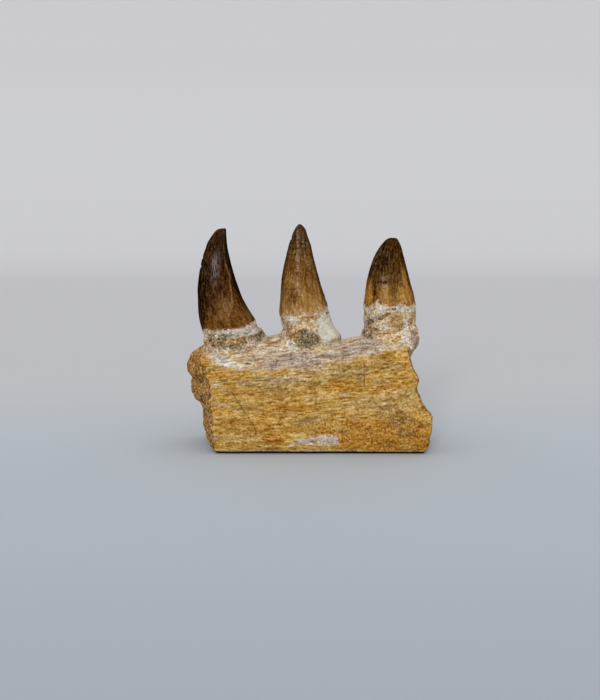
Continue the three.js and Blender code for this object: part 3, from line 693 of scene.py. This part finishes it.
class Mixer:
    """Adds nodes to a material or a node group, and joins them up."""

    def __init__(self, tree):
        self.tree = tree

    def node(self, kind, inputs=(), **settings):
        made = self.tree.nodes.new(kind)
        for key, value in settings.items():
            setattr(made, key, value)
        for socket, value in dict(inputs).items():
            self.feed(made.inputs[socket], value)
        return made

    def feed(self, socket, value):
        if isinstance(value, bpy.types.NodeSocket):
            self.tree.links.new(value, socket)
        else:
            socket.default_value = value

    def maths(self, operation, first, second, kind="ShaderNodeMath"):
        return self.node(kind, {0: first, 1: second}, operation=operation).outputs[0]

    def vector_maths(self, operation, first, second):
        return self.maths(operation, first, second, "ShaderNodeVectorMath")

    def times(self, first, second):
        return self.maths("MULTIPLY", first, second)

    def plus(self, first, second):
        return self.maths("ADD", first, second)

    def fit(self, value, low, high, to_low=0.0, to_high=1.0, softly=True):
        """Stretches low..high to to_low..to_high, and holds it there outside."""
        limits = {"Value": value, "From Min": low, "From Max": high, "To Min": to_low, "To Max": to_high}
        kind = "SMOOTHSTEP" if softly else "LINEAR"
        return self.node("ShaderNodeMapRange", limits, interpolation_type=kind).outputs["Result"]

    def between(self, share, first, second):
        """A number that goes from first to second as share grows."""
        ends = {"Factor": share, 2: first, 3: second}
        return self.node("ShaderNodeMix", ends, data_type="FLOAT").outputs[0]

    def blend(self, share, first, second, kind="MIX"):
        """The same for colours."""
        ends = {"Factor": share, 6: first, 7: second}
        return self.node("ShaderNodeMix", ends, data_type="RGBA", blend_type=kind).outputs[2]

    def ramp(self, share, *stops):
        """A run of colours, each given as (place, red, green, blue) in everyday values."""
        made = self.node("ShaderNodeValToRGB", {"Fac": share})
        run = made.color_ramp
        while len(run.elements) < len(stops):
            run.elements.new(0.5)
        for element, (place, *everyday) in zip(run.elements, stops):
            element.position = place
            element.color = tone(*everyday)
        return made.outputs["Color"]

    def lay(self, colour, layers):
        """Lays other colours over a colour, one after another, each given as (share, colour)."""
        for share, tint in layers:
            colour = self.blend(share, colour, tint)
        return colour

    def painted(self, name, vector=False):
        made = self.node("ShaderNodeAttribute", attribute_name=name)
        return made.outputs["Vector" if vector else "Fac"]

    def scaled(self, vector, scale):
        return self.node("ShaderNodeMapping", {"Vector": vector, "Scale": scale}).outputs["Vector"]

    def clouds(self, vector, scale, detail=3, roughness=0.55, distortion=0):
        values = {"Vector": vector, "Scale": scale, "Detail": detail, "Roughness": roughness}
        return self.node("ShaderNodeTexNoise", {**values, "Distortion": distortion}).outputs["Fac"]

    def place(self):
        return self.node("ShaderNodeTexCoord").outputs["Object"]

    def use(self, group, **inputs):
        """The outputs of a node group that is fed with these inputs."""
        made = self.node("ShaderNodeGroup", node_tree=group)
        for key, value in inputs.items():
            self.feed(made.inputs[key.replace("_", " ").capitalize()], value)
        return made.outputs


# The kinds of socket, by how many numbers they hold, and what a group's sockets hold until they are fed.
SOCKET_KINDS = {1: "NodeSocketFloat", 3: "NodeSocketVector", 4: "NodeSocketColor"}
A_NUMBER, A_VECTOR, A_COLOUR = 0.5, (0, 0, 0), (0.5, 0.5, 0.5, 1)


def new_group(name, takes, gives):
    """A node group with named inputs and outputs, which are given with what they hold until they are fed.

    Returns its Mixer, and the sockets that its inputs and outputs have inside it.
    """
    tree = bpy.data.node_groups.new(name, "ShaderNodeTree")
    for side, sockets in (("INPUT", takes), ("OUTPUT", gives)):
        for title, value in sockets.items():
            kind = SOCKET_KINDS[np.size(value)]
            tree.interface.new_socket(title, in_out=side, socket_type=kind).default_value = value
    mix = Mixer(tree)
    return mix, mix.node("NodeGroupInput").outputs, mix.node("NodeGroupOutput").inputs


def ragged_patch_group():
    """Turns a painted soft value into a patch with a ragged edge: its rim lies where the value is a half."""
    takes = {"Painted": 0, "Vector": A_VECTOR, "Size": 400}
    takes |= {"Raggedness": 0.3, "Softness": 0.08, "Strength": 1}
    mix, given, out = new_group("ragged patch", takes, {"Patch": A_NUMBER})
    rough = mix.maths("SUBTRACT", mix.clouds(given["Vector"], given["Size"], 4, 0.7), 0.5)
    level = mix.plus(given["Painted"], mix.times(rough, given["Raggedness"]))
    low = mix.maths("SUBTRACT", 0.5, given["Softness"])
    high = mix.plus(0.5, given["Softness"])
    mix.feed(out["Patch"], mix.times(mix.fit(level, low, high), given["Strength"]))
    return mix.tree


def streaks_group():
    """Streaks along one axis of a vector, coarse and fine: a tone from 0 to 1 and a height for the bump."""
    takes = {"Vector": A_VECTOR, "Coarse scale": (0.03, 0.2, 0.4)}
    takes |= {"Fine scale": (0.1, 0.9, 1.4), "Fineness": 0.5}
    mix, given, out = new_group("streaks", takes, {"Tone": A_NUMBER, "Height": A_NUMBER})
    values = []
    for title, detail in (("Coarse scale", 3), ("Fine scale", 5)):
        run = mix.vector_maths("MULTIPLY", given["Vector"], given[title])
        values.append(mix.clouds(run, 1, detail, 0.6, 0.25))
    both = mix.between(given["Fineness"], *values)
    mix.feed(out["Tone"], mix.fit(both, 0.3, 0.7, softly=False))
    mix.feed(out["Height"], values[1])
    return mix.tree


def grit_group():
    """Small grains: light ones, dark gaps between them and their height."""
    gives = {"Tone": A_NUMBER, "Light": A_NUMBER, "Dark": A_NUMBER, "Height": A_NUMBER}
    mix, given, out = new_group("grit", {"Vector": A_VECTOR, "Grains": 1100}, gives)
    stirred = mix.clouds(given["Vector"], given["Grains"], 3, 0.75)
    near = mix.node("ShaderNodeTexVoronoi", {"Vector": given["Vector"], "Scale": given["Grains"]})
    mix.feed(out["Tone"], mix.fit(stirred, 0.3, 0.7, softly=False))
    mix.feed(out["Light"], mix.fit(stirred, 0.54, 0.66))
    mix.feed(out["Dark"], mix.fit(stirred, 0.46, 0.34))
    body = mix.maths("SUBTRACT", 1.0, near.outputs["Distance"])
    mix.feed(out["Height"], mix.plus(mix.times(body, 0.6), stirred))
    return mix.tree


SCREEN_GAMMA = 2.2
DUST_TINT = (0.94, 1.0, 1.1)
SHADE_RANGE = (-1.15, 1.0)  # the shades between go a little further than the dust
DARKEST = (0.03, 0.02, 0.01)  # no shade goes below this tone


def fine_shade_group():
    """Fine fibres and grains: pale dust here and there on a colour, and deeper shade between."""
    takes = {"Colour": A_COLOUR, "Fibres": A_VECTOR, "Fibre scale": (0.3, 1, 1.6), "Place": A_VECTOR}
    takes |= {"Grains": 1300, "Graininess": 0.5, "Strength": 0.1}
    mix, given, out = new_group("fine shade", takes, {"Colour": A_COLOUR, "Height": A_NUMBER})
    run = mix.vector_maths("MULTIPLY", given["Fibres"], given["Fibre scale"])
    threads = mix.clouds(run, 1, 2, 0.65)
    grains = mix.clouds(given["Place"], given["Grains"], 2, 0.65)
    level = mix.between(given["Graininess"], threads, grains)
    swing = mix.times(mix.fit(level, 0.34, 0.66, *SHADE_RANGE, softly=False), given["Strength"])
    dust = mix.node("ShaderNodeVectorMath", {0: DUST_TINT, "Scale": swing}, operation="SCALE").outputs[0]
    tones = mix.node("ShaderNodeGamma", {"Color": given["Colour"], "Gamma": 1 / SCREEN_GAMMA}).outputs[0]
    dusty = mix.vector_maths("MAXIMUM", mix.vector_maths("ADD", tones, dust), DARKEST)
    dusty = mix.node("ShaderNodeGamma", {"Color": dusty, "Gamma": SCREEN_GAMMA}).outputs[0]
    mix.feed(out["Colour"], dusty)
    mix.feed(out["Height"], level)
    return mix.tree


def grime_group():
    """Dirt that has stayed in the hollows of a surface and worn off its high places."""
    takes = {"Colour": A_COLOUR, "Grime": tone(70, 50, 28), "Hollow": 0.5, "Amount": 0.5, "Lift": 0.15}
    mix, given, out = new_group("grime", takes, {"Colour": A_COLOUR})
    deep = mix.times(mix.fit(given["Hollow"], 0.45, 0.95), given["Amount"])
    dirty = mix.blend(deep, given["Colour"], given["Grime"])
    high = mix.times(mix.fit(given["Hollow"], 0.4, 0.05), given["Lift"])
    mix.feed(out["Colour"], mix.blend(high, dirty, tone(255, 240, 214), "SOFT_LIGHT"))
    return mix.tree


RAGGED_PATCH = ragged_patch_group()
STREAKS = streaks_group()
GRIT = grit_group()
GRIME = grime_group()
FINE_SHADE = fine_shade_group()


def patch(mix, painted, vector, size, raggedness, softness, strength=1.0):
    """A painted value as a ragged patch. Size is the scale of the noise that frays it: higher is finer."""
    edge = {"size": size, "raggedness": raggedness, "softness": softness, "strength": strength}
    return mix.use(RAGGED_PATCH, painted=painted, vector=vector, **edge)["Patch"]


def crust_group():
    """The pale crust round the tooth sockets, which runs without a break over bone, sand and root: old
    fibrous bone, sand, rust and lime."""
    takes = {"Place": A_VECTOR, "Fibres": A_VECTOR, "Fibrous": 0.5}
    takes |= {name.capitalize(): 0 for name in CRUST_STAINS}
    mix, given, out = new_group("pale crust", takes, {"Colour": A_COLOUR, "Height": A_NUMBER})
    place, fibres, fibrous = given["Place"], given["Fibres"], given["Fibrous"]
    streak = mix.use(STREAKS, vector=fibres, coarse_scale=(0.09, 0.3, 0.5), fine_scale=(0.4, 0.9, 1.5))
    grains = mix.use(GRIT, vector=place, grains=950)
    mottle = mix.fit(mix.clouds(place, 330, 5, 0.7), 0.3, 0.7, softly=False)
    shade = mix.between(fibrous, mottle, streak["Tone"])
    shade = mix.plus(mix.times(shade, 0.75), mix.times(grains["Tone"], 0.25))
    sandy_shade = mix.plus(mix.times(mottle, 0.4), mix.times(grains["Tone"], 0.6))

    def stain(name, *edge):
        return patch(mix, given[name.capitalize()], place, *edge)

    def drift(scale, low, high, most, roughness=0.55):
        return mix.fit(mix.clouds(place, scale, 3, roughness), low, high, 0, most)

    base = mix.ramp(
        shade, (0.12, 132, 109, 90), (0.36, 169, 146, 122), (0.52, 193, 172, 146), (0.68, 213, 196, 170),
        (0.9, 233, 222, 202),
    )
    warm = mix.ramp(shade, (0.12, 132, 98, 60), (0.5, 182, 150, 104), (0.88, 218, 196, 154))
    fawn = mix.ramp(shade, (0.12, 160, 123, 72), (0.5, 212, 184, 137), (0.88, 234, 216, 176))
    mauve = mix.ramp(shade, (0.12, 108, 88, 80), (0.5, 156, 138, 124), (0.88, 206, 194, 178))
    sand = mix.ramp(
        sandy_shade, (0.2, 80, 64, 43), (0.42, 108, 90, 63), (0.6, 127, 109, 80), (0.85, 156, 140, 112)
    )
    dull = mix.ramp(shade, (0.2, 112, 96, 64), (0.8, 178, 164, 124))
    cream = mix.ramp(mix.clouds(place, 260, 4), (0.3, 192, 186, 168), (0.7, 214, 210, 196))
    speck = mix.fit(mix.clouds(place, 900, 2), 0.66, 0.72, 0, 0.7)
    cream = mix.blend(speck, cream, tone(120, 112, 92))
    rust = mix.ramp(shade, (0.12, 108, 72, 34), (0.45, 156, 112, 62), (0.85, 204, 170, 118))
    white = mix.ramp(shade, (0.12, 160, 147, 128), (0.45, 200, 192, 178), (0.85, 230, 226, 216))
    brown = mix.ramp(grains["Tone"], (0.2, 62, 46, 28), (0.55, 108, 84, 54), (0.9, 176, 154, 120))
    creamy = stain("creamy", 320, 1.2, 0.2)
    layers = [
        (drift(140, 0.48, 0.62, 0.55, 0.6), warm),
        (stain("fawn", 320, 1, 0.4, 0.8), fawn),
        (stain("mauve", 480, 1.3, 0.3, 0.85), mauve),
        (drift(240, 0.58, 0.7, 0.3), mauve),
        (stain("sandy", 420, 1, 0.25, 0.9), sand),
        (stain("olive", 420, 1, 0.25, 0.65), dull),
        (creamy, cream),
        (stain("rusty", 520, 1.2, 0.25, 0.75), rust),
        (drift(420, 0.62, 0.72, 0.6), rust),
        (stain("bleached", 560, 1.2, 0.3, 0.8), white),
        (stain("umber", 620, 1.4, 0.2, 0.8), brown),
        (mix.times(grains["Dark"], 0.14), tone(92, 72, 52)),
        (mix.times(grains["Light"], 0.14), tone(236, 226, 204)),
    ]
    fine = mix.use(
        FINE_SHADE,
        colour=mix.lay(base, layers),
        fibres=fibres,
        fibre_scale=(0.22, 0.8, 1.15),
        place=place,
        grains=1000,
        graininess=mix.between(fibrous, 0.9, 0.35),
        strength=mix.between(creamy, 0.17, 0.06),
    )
    mix.feed(out["Colour"], fine["Colour"])
    heights = mix.between(fibrous, grains["Height"], streak["Height"])
    rough = mix.plus(mix.times(heights, 0.6), mix.times(fine["Height"], 0.4))
    mix.feed(out["Height"], mix.between(mix.times(creamy, 0.7), rough, 0.5))
    return mix.tree


CRUST = crust_group()


def crust_of(mix, fibrous):
    """The pale crust, fed with what is painted on the piece."""
    stains = {name: mix.painted(name) for name in CRUST_STAINS}
    fibres = mix.painted("fibres", vector=True)
    return mix.use(CRUST, place=mix.place(), fibres=fibres, fibrous=fibrous, **stains)


def new_material(name):
    material = bpy.data.materials.new(name)
    material.use_nodes = True
    return material, Mixer(material.node_tree), material.node_tree.nodes["Principled BSDF"]


def finish_shader(mix, shader, colour, roughness, specular):
    mix.feed(shader.inputs["Base Color"], colour)
    mix.feed(shader.inputs["Roughness"], roughness)
    mix.feed(shader.inputs["Specular IOR Level"], specular)


def add_bump(mix, shader, height, strength, distance):
    """Feeds the shader a bump of this height, in millimetres."""
    bump = mix.node("ShaderNodeBump", {"Height": height, "Strength": strength, "Distance": distance * MM})
    mix.feed(shader.inputs["Normal"], bump.outputs["Normal"])


# ---- the three finishes ----

# The stains on the bone from the bottom layer up: the size, raggedness, softness and strength of their
# patches, and their tones where the bone is dark, middling and light.
BONE_STAINS = {
    "olive": ((200, 0.8, 0.4, 0.8), (124, 98, 56), (162, 133, 84), (198, 174, 126)),
    "fawn": ((320, 1, 0.3, 0.8), (142, 106, 60), (188, 152, 92), (218, 192, 142)),
    "rusty": ((420, 1.2, 0.35, 0.75), (112, 70, 20), (162, 107, 33), (204, 152, 72)),
    "mauve": ((420, 1, 0.3, 0.8), (122, 98, 78), (170, 146, 116), (208, 190, 162)),
    "umber": ((520, 1.4, 0.25, 0.7), (84, 56, 26), (132, 94, 48), (172, 134, 84)),
    "bleached": ((520, 1, 0.16, 0.85), (148, 132, 116), (186, 173, 160), (214, 207, 200)),
}


def bone_finish():
    """Tan fossil bone with stains along its fibres, pale crust over the sockets, and broken ends."""
    material, mix, shader = new_material("fossil bone")
    place = mix.place()
    fibres = mix.painted("fibres", vector=True)
    scales = {"coarse_scale": (0.06, 0.2, 0.36), "fine_scale": (0.46, 1.0, 1.6)}
    streak = mix.use(STREAKS, vector=fibres, fineness=0.6, **scales)
    grit = mix.use(GRIT, vector=place, grains=820)
    speckled = patch(mix, mix.painted("speckled"), place, 260, 1.2, 0.3, 0.85)
    fibrous = mix.plus(mix.times(streak["Tone"], 0.85), mix.times(grit["Tone"], 0.15))
    granular = mix.plus(mix.times(streak["Tone"], 0.35), mix.times(grit["Tone"], 0.65))
    shade = mix.between(speckled, fibrous, granular)

    def tint(dark, middling, light):
        return mix.ramp(shade, (0.1, *dark), (0.5, *middling), (0.9, *light))

    base = mix.ramp(
        shade, (0, 164, 121, 58), (0.3, 175, 134, 64), (0.5, 183, 143, 73), (0.7, 190, 152, 84),
        (1, 197, 165, 103),
    )
    amber = tint(*BONE_STAINS["rusty"][1:])
    tan = tint((134, 104, 68), (178, 146, 98), (214, 192, 152))
    layers = [
        (mix.fit(mix.clouds(place, 85, 4, 0.65), 0.5, 0.64, 0, 0.5), amber),
        (mix.fit(mix.clouds(fibres, 0.16, 4, 0.65), 0.52, 0.66, 0, 0.45), tan),
    ]
    for name, (edge, *tones) in BONE_STAINS.items():
        layers.append((patch(mix, mix.painted(name), place, *edge), tint(*tones)))
    fine = mix.use(
        FINE_SHADE,
        colour=mix.lay(base, layers),
        fibres=fibres,
        fibre_scale=(0.3, 0.8, 1.15),
        place=place,
        grains=980,
        graininess=mix.between(speckled, 0.4, 0.85),
        strength=mix.between(speckled, 0.19, 0.15),
    )
    pale = patch(mix, mix.painted("pale"), place, 480, 0.9, 0.14)
    crust = crust_of(mix, fibrous=0.8)
    sponge = mix.ramp(
        mix.clouds(place, 620, 4, 0.75),
        (0.3, 64, 42, 20), (0.42, 116, 80, 38), (0.56, 158, 116, 60), (0.72, 206, 176, 122),
    )
    grainy = {"grains": 850, "graininess": 1, "strength": 0.18}
    sponge = mix.use(FINE_SHADE, colour=sponge, fibres=place, place=place, **grainy)
    broken = mix.fit(mix.painted("broken"), 0.35, 0.75, 0, 0.9)
    colour = mix.lay(fine["Colour"], [(pale, crust["Colour"]), (broken, sponge["Colour"])])
    grime = {"hollow": mix.painted("hollow"), "amount": 0.45, "lift": 0.35, "grime": tone(84, 54, 26)}
    colour = mix.use(GRIME, colour=colour, **grime)["Colour"]
    line = mix.fit(mix.painted("crack"), 0.82, 0.93)
    line = mix.times(line, mix.fit(mix.clouds(place, 300), 0.34, 0.54, 0.35, 0.85))
    # painted shade: the marked underside near the base is painted near black
    under = mix.fit(mix.painted("under"), 0, 0.5)
    colour = mix.lay(colour, [(line, tone(84, 54, 20)), (under, tone(30, 23, 16))])
    finish_shader(mix, shader, colour, mix.fit(shade, 0, 1, 0.5, 0.75), specular=0.05)
    own = mix.plus(mix.times(streak["Height"], 0.5), mix.times(grit["Height"], 0.4))
    own = mix.plus(own, mix.times(fine["Height"], 0.5))
    height = mix.between(pale, own, crust["Height"])
    add_bump(mix, shader, height, strength=0.45, distance=0.35)
    return material


# How the left, middle and right tooth look.
TOOTH_LOOKS = {
    # tones down the crown, from its tip to the enamel's margin
    "crown": (
        [(0, 72, 45, 25), (0.4, 49, 28, 13), (0.7, 88, 54, 22), (1, 122, 79, 33)],
        [(0, 46, 25, 9), (0.3, 90, 58, 22), (0.6, 118, 80, 34), (0.85, 150, 107, 54), (1, 174, 134, 88)],
        [(0, 42, 26, 10), (0.4, 66, 42, 16), (0.7, 108, 71, 31), (1, 162, 117, 60)],
    ),
    # dark and bright tones of streaks and marks; the dark one is also the painted shade towards the sides
    "deep": (tone(16, 9, 4), tone(38, 20, 8), tone(30, 15, 5)),
    "bright": (tone(152, 114, 68), tone(180, 140, 84), tone(188, 138, 62)),
    # how strong the light marks are, and how much further down the crown the right side looks
    "light_share": (0.62, 0.62, 0.8),
    "right_share": (0.16, 0.03, 0.1),
    # how dark the sides towards the cutting edges are painted, partly painted shade and partly the edges' own
    # darker colour; where that begins, what is left of it at the margin, and the rim there
    "edge": (0.9, 0.75, 0.8),
    "edge_from": (0.76, 0.84, 0.82),
    "edge_fade": (0.45, 0.5, 0.15),
    "rim": (0.5, 0.1, 0.2),
    # the polish and how it has worn off in patches, and the strength and tone of the painted highlight laid
    # in the same patches
    "gloss": (0.9, 0.5, 0.5),
    "coat_roughness": (0.42, 0.24, 0.4),
    "worn": ((1.6, 1.6, 0.5), (0.35, 0.35, 1.3), (0.9, 0.9, 0.9)),
    "painted_highlight": (0.62, 0.52, 0.6),
    "painted_highlight_tone": (tone(124, 104, 108), tone(176, 142, 106), tone(160, 128, 100)),
    # the net of fine cracks
    "cracks": ((0.7, 0.7, 0.18), (0.8, 0.8, 0.55), (0.7, 0.7, 0.22)),
    "crack_tone": (tone(16, 9, 4), tone(176, 134, 84), tone(30, 15, 5)),
    "crack_depth": (0.4, 0.2, 0.4),
    # the enamel's margin, and the fine shade on the enamel
    "ragged": (0.7, 0.9, 0.8),
    "margin_softness": (0.1, 0.16, 0.09),
    "fineness": (0.09, 0.12, 0.12),
}


def tooth_finish(side):
    """Polished brown enamel over a root in pale crust."""
    looks = {name: values[SIDES.index(side)] for name, values in TOOTH_LOOKS.items()}
    deep, bright = looks["deep"], looks["bright"]
    material, mix, shader = new_material(f"tooth {side}")
    flow = mix.painted("flow", vector=True)
    place = mix.place()
    streak = mix.use(STREAKS, vector=flow, coarse_scale=(0.5, 0.5, 0.06), fine_scale=(1.6, 1.6, 0.2))
    blotch = mix.clouds(mix.scaled(flow, (0.3, 0.3, 0.16)), 1, 4, 0.65)
    mottle = mix.clouds(mix.scaled(flow, (0.9, 0.9, 0.6)), 1, 4, 0.7)
    light = patch(mix, mix.painted("light"), place, 320, 0.9, 0.4)
    dark = patch(mix, mix.painted("dark"), place, 420, 0.6, 0.4)
    stirred = mix.times(mix.maths("SUBTRACT", blotch, 0.5), 0.8)
    rightward = mix.times(mix.painted("leftward"), -looks["right_share"])
    grown = mix.painted("grown")
    level = mix.plus(mix.plus(grown, stirred), rightward)
    margin = mix.painted("margin")
    # painted shade and dark cutting edges: the enamel is darkened towards its left and right sides
    edge = mix.fit(mix.painted("sideways"), looks["edge_from"], 0.99, 0, looks["edge"])
    edge = mix.times(edge, mix.fit(grown, 0.5, 0.95, 1, looks["edge_fade"]))
    net = {"Vector": mix.scaled(flow, looks["cracks"]), "Scale": 1}
    net = mix.node("ShaderNodeTexVoronoi", net, feature="DISTANCE_TO_EDGE").outputs["Distance"]
    layers = [
        (mix.fit(streak["Tone"], 0.5, 0, 0, 0.6), deep),
        (mix.fit(streak["Tone"], 0.6, 1, 0, 0.4), bright),
        (mix.times(light, looks["light_share"]), bright),
        (mix.times(dark, 0.66), deep),
        (mix.fit(mottle, 0.5, 0.72, 0, 0.35), bright),
        (mix.fit(mottle, 0.46, 0.3, 0, 0.4), deep),
        (mix.fit(margin, 0.75, 0.52, 0, looks["rim"]), tone(150, 92, 32)),
        (edge, deep),
        (mix.fit(net, 0.09, 0, 0, looks["crack_depth"]), looks["crack_tone"]),
        (mix.times(mix.painted("chipped"), 0.7), tone(122, 108, 88)),
    ]
    fine = mix.use(
        FINE_SHADE,
        colour=mix.lay(mix.ramp(level, *looks["crown"]), layers),
        fibres=flow,
        fibre_scale=(0.9, 0.9, 0.2),
        place=place,
        grains=950,
        graininess=0.45,
        strength=looks["fineness"],
    )
    crust = crust_of(mix, fibrous=0.25)
    enamel = patch(mix, margin, place, 620, looks["ragged"], looks["margin_softness"])
    colour = mix.blend(enamel, crust["Colour"], fine["Colour"])
    gloss = mix.fit(mix.painted("gloss"), 0.05, 0.85)
    worn = mix.fit(mix.clouds(mix.scaled(flow, looks["worn"]), 1), 0.4, 0.58, 0.1, 1)
    polish_and_painted_highlight = mix.times(mix.times(gloss, worn), enamel)
    mix.feed(shader.inputs["Coat Weight"], mix.times(polish_and_painted_highlight, looks["gloss"]))
    mix.feed(shader.inputs["Coat Roughness"], looks["coat_roughness"])
    # painted highlight: a pale tone laid into the enamel's colour in the gloss patches, beside the real shine
    # of the coat
    colour = mix.blend(mix.times(polish_and_painted_highlight, looks["painted_highlight"]), colour, looks["painted_highlight_tone"])
    polish = mix.fit(mix.clouds(mix.scaled(flow, (0.8, 0.8, 0.3)), 1), 0.35, 0.65, 0.36, 0.5)
    roughness = mix.between(enamel, 0.85, polish)
    finish_shader(mix, shader, colour, roughness, specular=0)  # the coat gives all its real shine; the painted highlight is in its colour
    own = mix.plus(mix.times(streak["Height"], 0.4), mix.times(fine["Height"], 0.4))
    height = mix.between(enamel, crust["Height"], own)
    add_bump(mix, shader, height, strength=0.35, distance=0.25)
    return material


def sand_finish():
    material, mix, shader = new_material("cemented sand")
    crust = crust_of(mix, fibrous=0.1)
    # the hollow value of the sand also holds the painted shade on its top, so this darkens both that shade
    # and the dirt in its hollows
    grime = {"hollow": mix.painted("hollow"), "amount": 0.35, "lift": 0.2, "grime": tone(92, 74, 50)}
    colour = mix.use(GRIME, colour=crust["Colour"], **grime)["Colour"]
    finish_shader(mix, shader, colour, roughness=0.85, specular=0.05)
    add_bump(mix, shader, crust["Height"], strength=0.5, distance=0.4)
    return material


# ---- the object ----


def set_in_place(piece, node, material):
    piece.data.materials.append(material)
    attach(piece, "root")
    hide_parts(node)


def make_jaw():
    bone = refined_copy("jaw_bone", BONE_SQUARE, BONE_SMOOTHING)
    sands = {side: refined_copy(f"matrix_{side}", SAND_SQUARE, SAND_SMOOTHING) for side in SIDES}
    bone_tree = surface_tree(bone.data)
    finish_bone(bone, [surface_tree(sand.data) for sand in sands.values()])
    set_in_place(bone, "jaw_bone", bone_finish())
    sand_material = sand_finish()
    for side in SIDES:
        finish_sand(side, sands[side], bone_tree)
        set_in_place(sands[side], f"matrix_{side}", sand_material)
        tooth = make_tooth(side, TEETH[side])
        set_in_place(tooth, f"tooth_{side}", tooth_finish(side))


# ---- the studio ----

VIEW_ELEVATION = math.radians(9.0)
VIEW_DISTANCE = 490.0
VIEW_TARGET = (-4.4, 0.0, 47.68)
FOCAL_PIXELS = 1000.0
IMAGE_HEIGHT = 700.0
SENSOR = 36.0  # millimetres, along the image's height


def add_camera():
    lens = bpy.data.cameras.new("camera")
    lens.sensor_width = SENSOR
    lens.lens = FOCAL_PIXELS * SENSOR / IMAGE_HEIGHT
    lens.clip_start = 0.01
    camera = add_piece("camera", lens)
    away = Vector((0, -math.cos(VIEW_ELEVATION), math.sin(VIEW_ELEVATION)))
    camera.location = (Vector(VIEW_TARGET) + away * VIEW_DISTANCE) * MM
    camera.rotation_euler = (math.pi / 2 - VIEW_ELEVATION, 0, 0)
    bpy.context.scene.camera = camera


FLOOR_FRONT, FLOOR_BACK = -1.6, 0.95  # metres along y
BACKDROP_RADIUS, BACKDROP_TOP = 0.35, 2.4
SWEEP_HALF_WIDTH = 3.0
BEND_STEPS = 24
PAPER_RUN = (-0.3, 1.75)  # its tone changes over this length, counted along the floor and up the backdrop
# The paper's tones along that run: darker towards the front, paler up the backdrop, and a slight dip across
# the bend, which is painted shade where the bend faces the lights most.
PAPER = [
    (0, 165, 172, 178), (0.07, 175, 182, 189), (0.16, 183, 189, 195), (0.224, 192, 193, 196),
    (0.35, 194, 194, 198), (0.5, 197, 197, 201), (0.62, 200, 200, 204), (0.7, 202, 202, 204),
    (0.78, 201, 201, 203), (0.88, 205, 205, 207), (0.96, 212, 211, 212),
]


def add_sweep():
    """A pale floor that curves up into a backdrop, made from one line of points drawn out sideways."""
    shape = bmesh.new()
    curve = [Vector((-SWEEP_HALF_WIDTH, FLOOR_FRONT, 0))]
    for i in range(BEND_STEPS + 1):
        turn = math.pi / 2 * i / BEND_STEPS
        back = FLOOR_BACK + BACKDROP_RADIUS * math.sin(turn)
        curve.append(Vector((-SWEEP_HALF_WIDTH, back, BACKDROP_RADIUS * (1 - math.cos(turn)))))
    curve.append(Vector((-SWEEP_HALF_WIDTH, FLOOR_BACK + BACKDROP_RADIUS, BACKDROP_TOP)))
    verts = [shape.verts.new(spot) for spot in curve]
    edges = [shape.edges.new(pair) for pair in zip(verts, verts[1:])]
    drawn = bmesh.ops.extrude_edge_only(shape, edges=edges)["geom"]
    moved = [item for item in drawn if isinstance(item, bmesh.types.BMVert)]
    bmesh.ops.translate(shape, verts=moved, vec=(2 * SWEEP_HALF_WIDTH, 0, 0))
    bmesh.ops.recalc_face_normals(shape, faces=shape.faces)
    mesh = mesh_from(shape, "sweep")
    shade_smooth(mesh)
    sweep = add_piece("sweep", mesh)
    material, mix, shader = new_material("pale paper")
    place = mix.node("ShaderNodeSeparateXYZ", {"Vector": mix.place()})
    along = mix.plus(place.outputs["Y"], place.outputs["Z"])
    paper = mix.ramp(mix.fit(along, *PAPER_RUN, softly=False), *PAPER)
    finish_shader(mix, shader, paper, roughness=0.9, specular=0.1)
    mesh.materials.append(material)


ROOM_TINT = (0.97, 0.98, 1.0, 1.0)
ROOM_STRENGTH = 0.5


def add_world():
    world = bpy.data.worlds.new("soft room")
    bpy.context.scene.world = world
    world.use_nodes = True
    room = world.node_tree.nodes["Background"]
    room.inputs["Color"].default_value = ROOM_TINT
    room.inputs["Strength"].default_value = ROOM_STRENGTH


def add_sun(name, leftward, elevation, spread, strength):
    """A broad light, far off. Leftward counts from straight in front, and all angles are in degrees."""
    light = bpy.data.lights.new(name, "SUN")
    light.angle = math.radians(spread)
    light.energy = strength
    sun = add_piece(name, light)
    sun.rotation_euler = (math.radians(90 - elevation), 0, -math.radians(leftward))


def light_studio():
    add_world()
    add_sweep()
    add_sun("window", leftward=14, elevation=20, spread=13, strength=1.15)
    add_sun("ceiling", leftward=20, elevation=86, spread=90, strength=1.12)


make_jaw()
light_studio()
add_camera()
bpy.context.scene.view_settings.view_transform = "Standard"
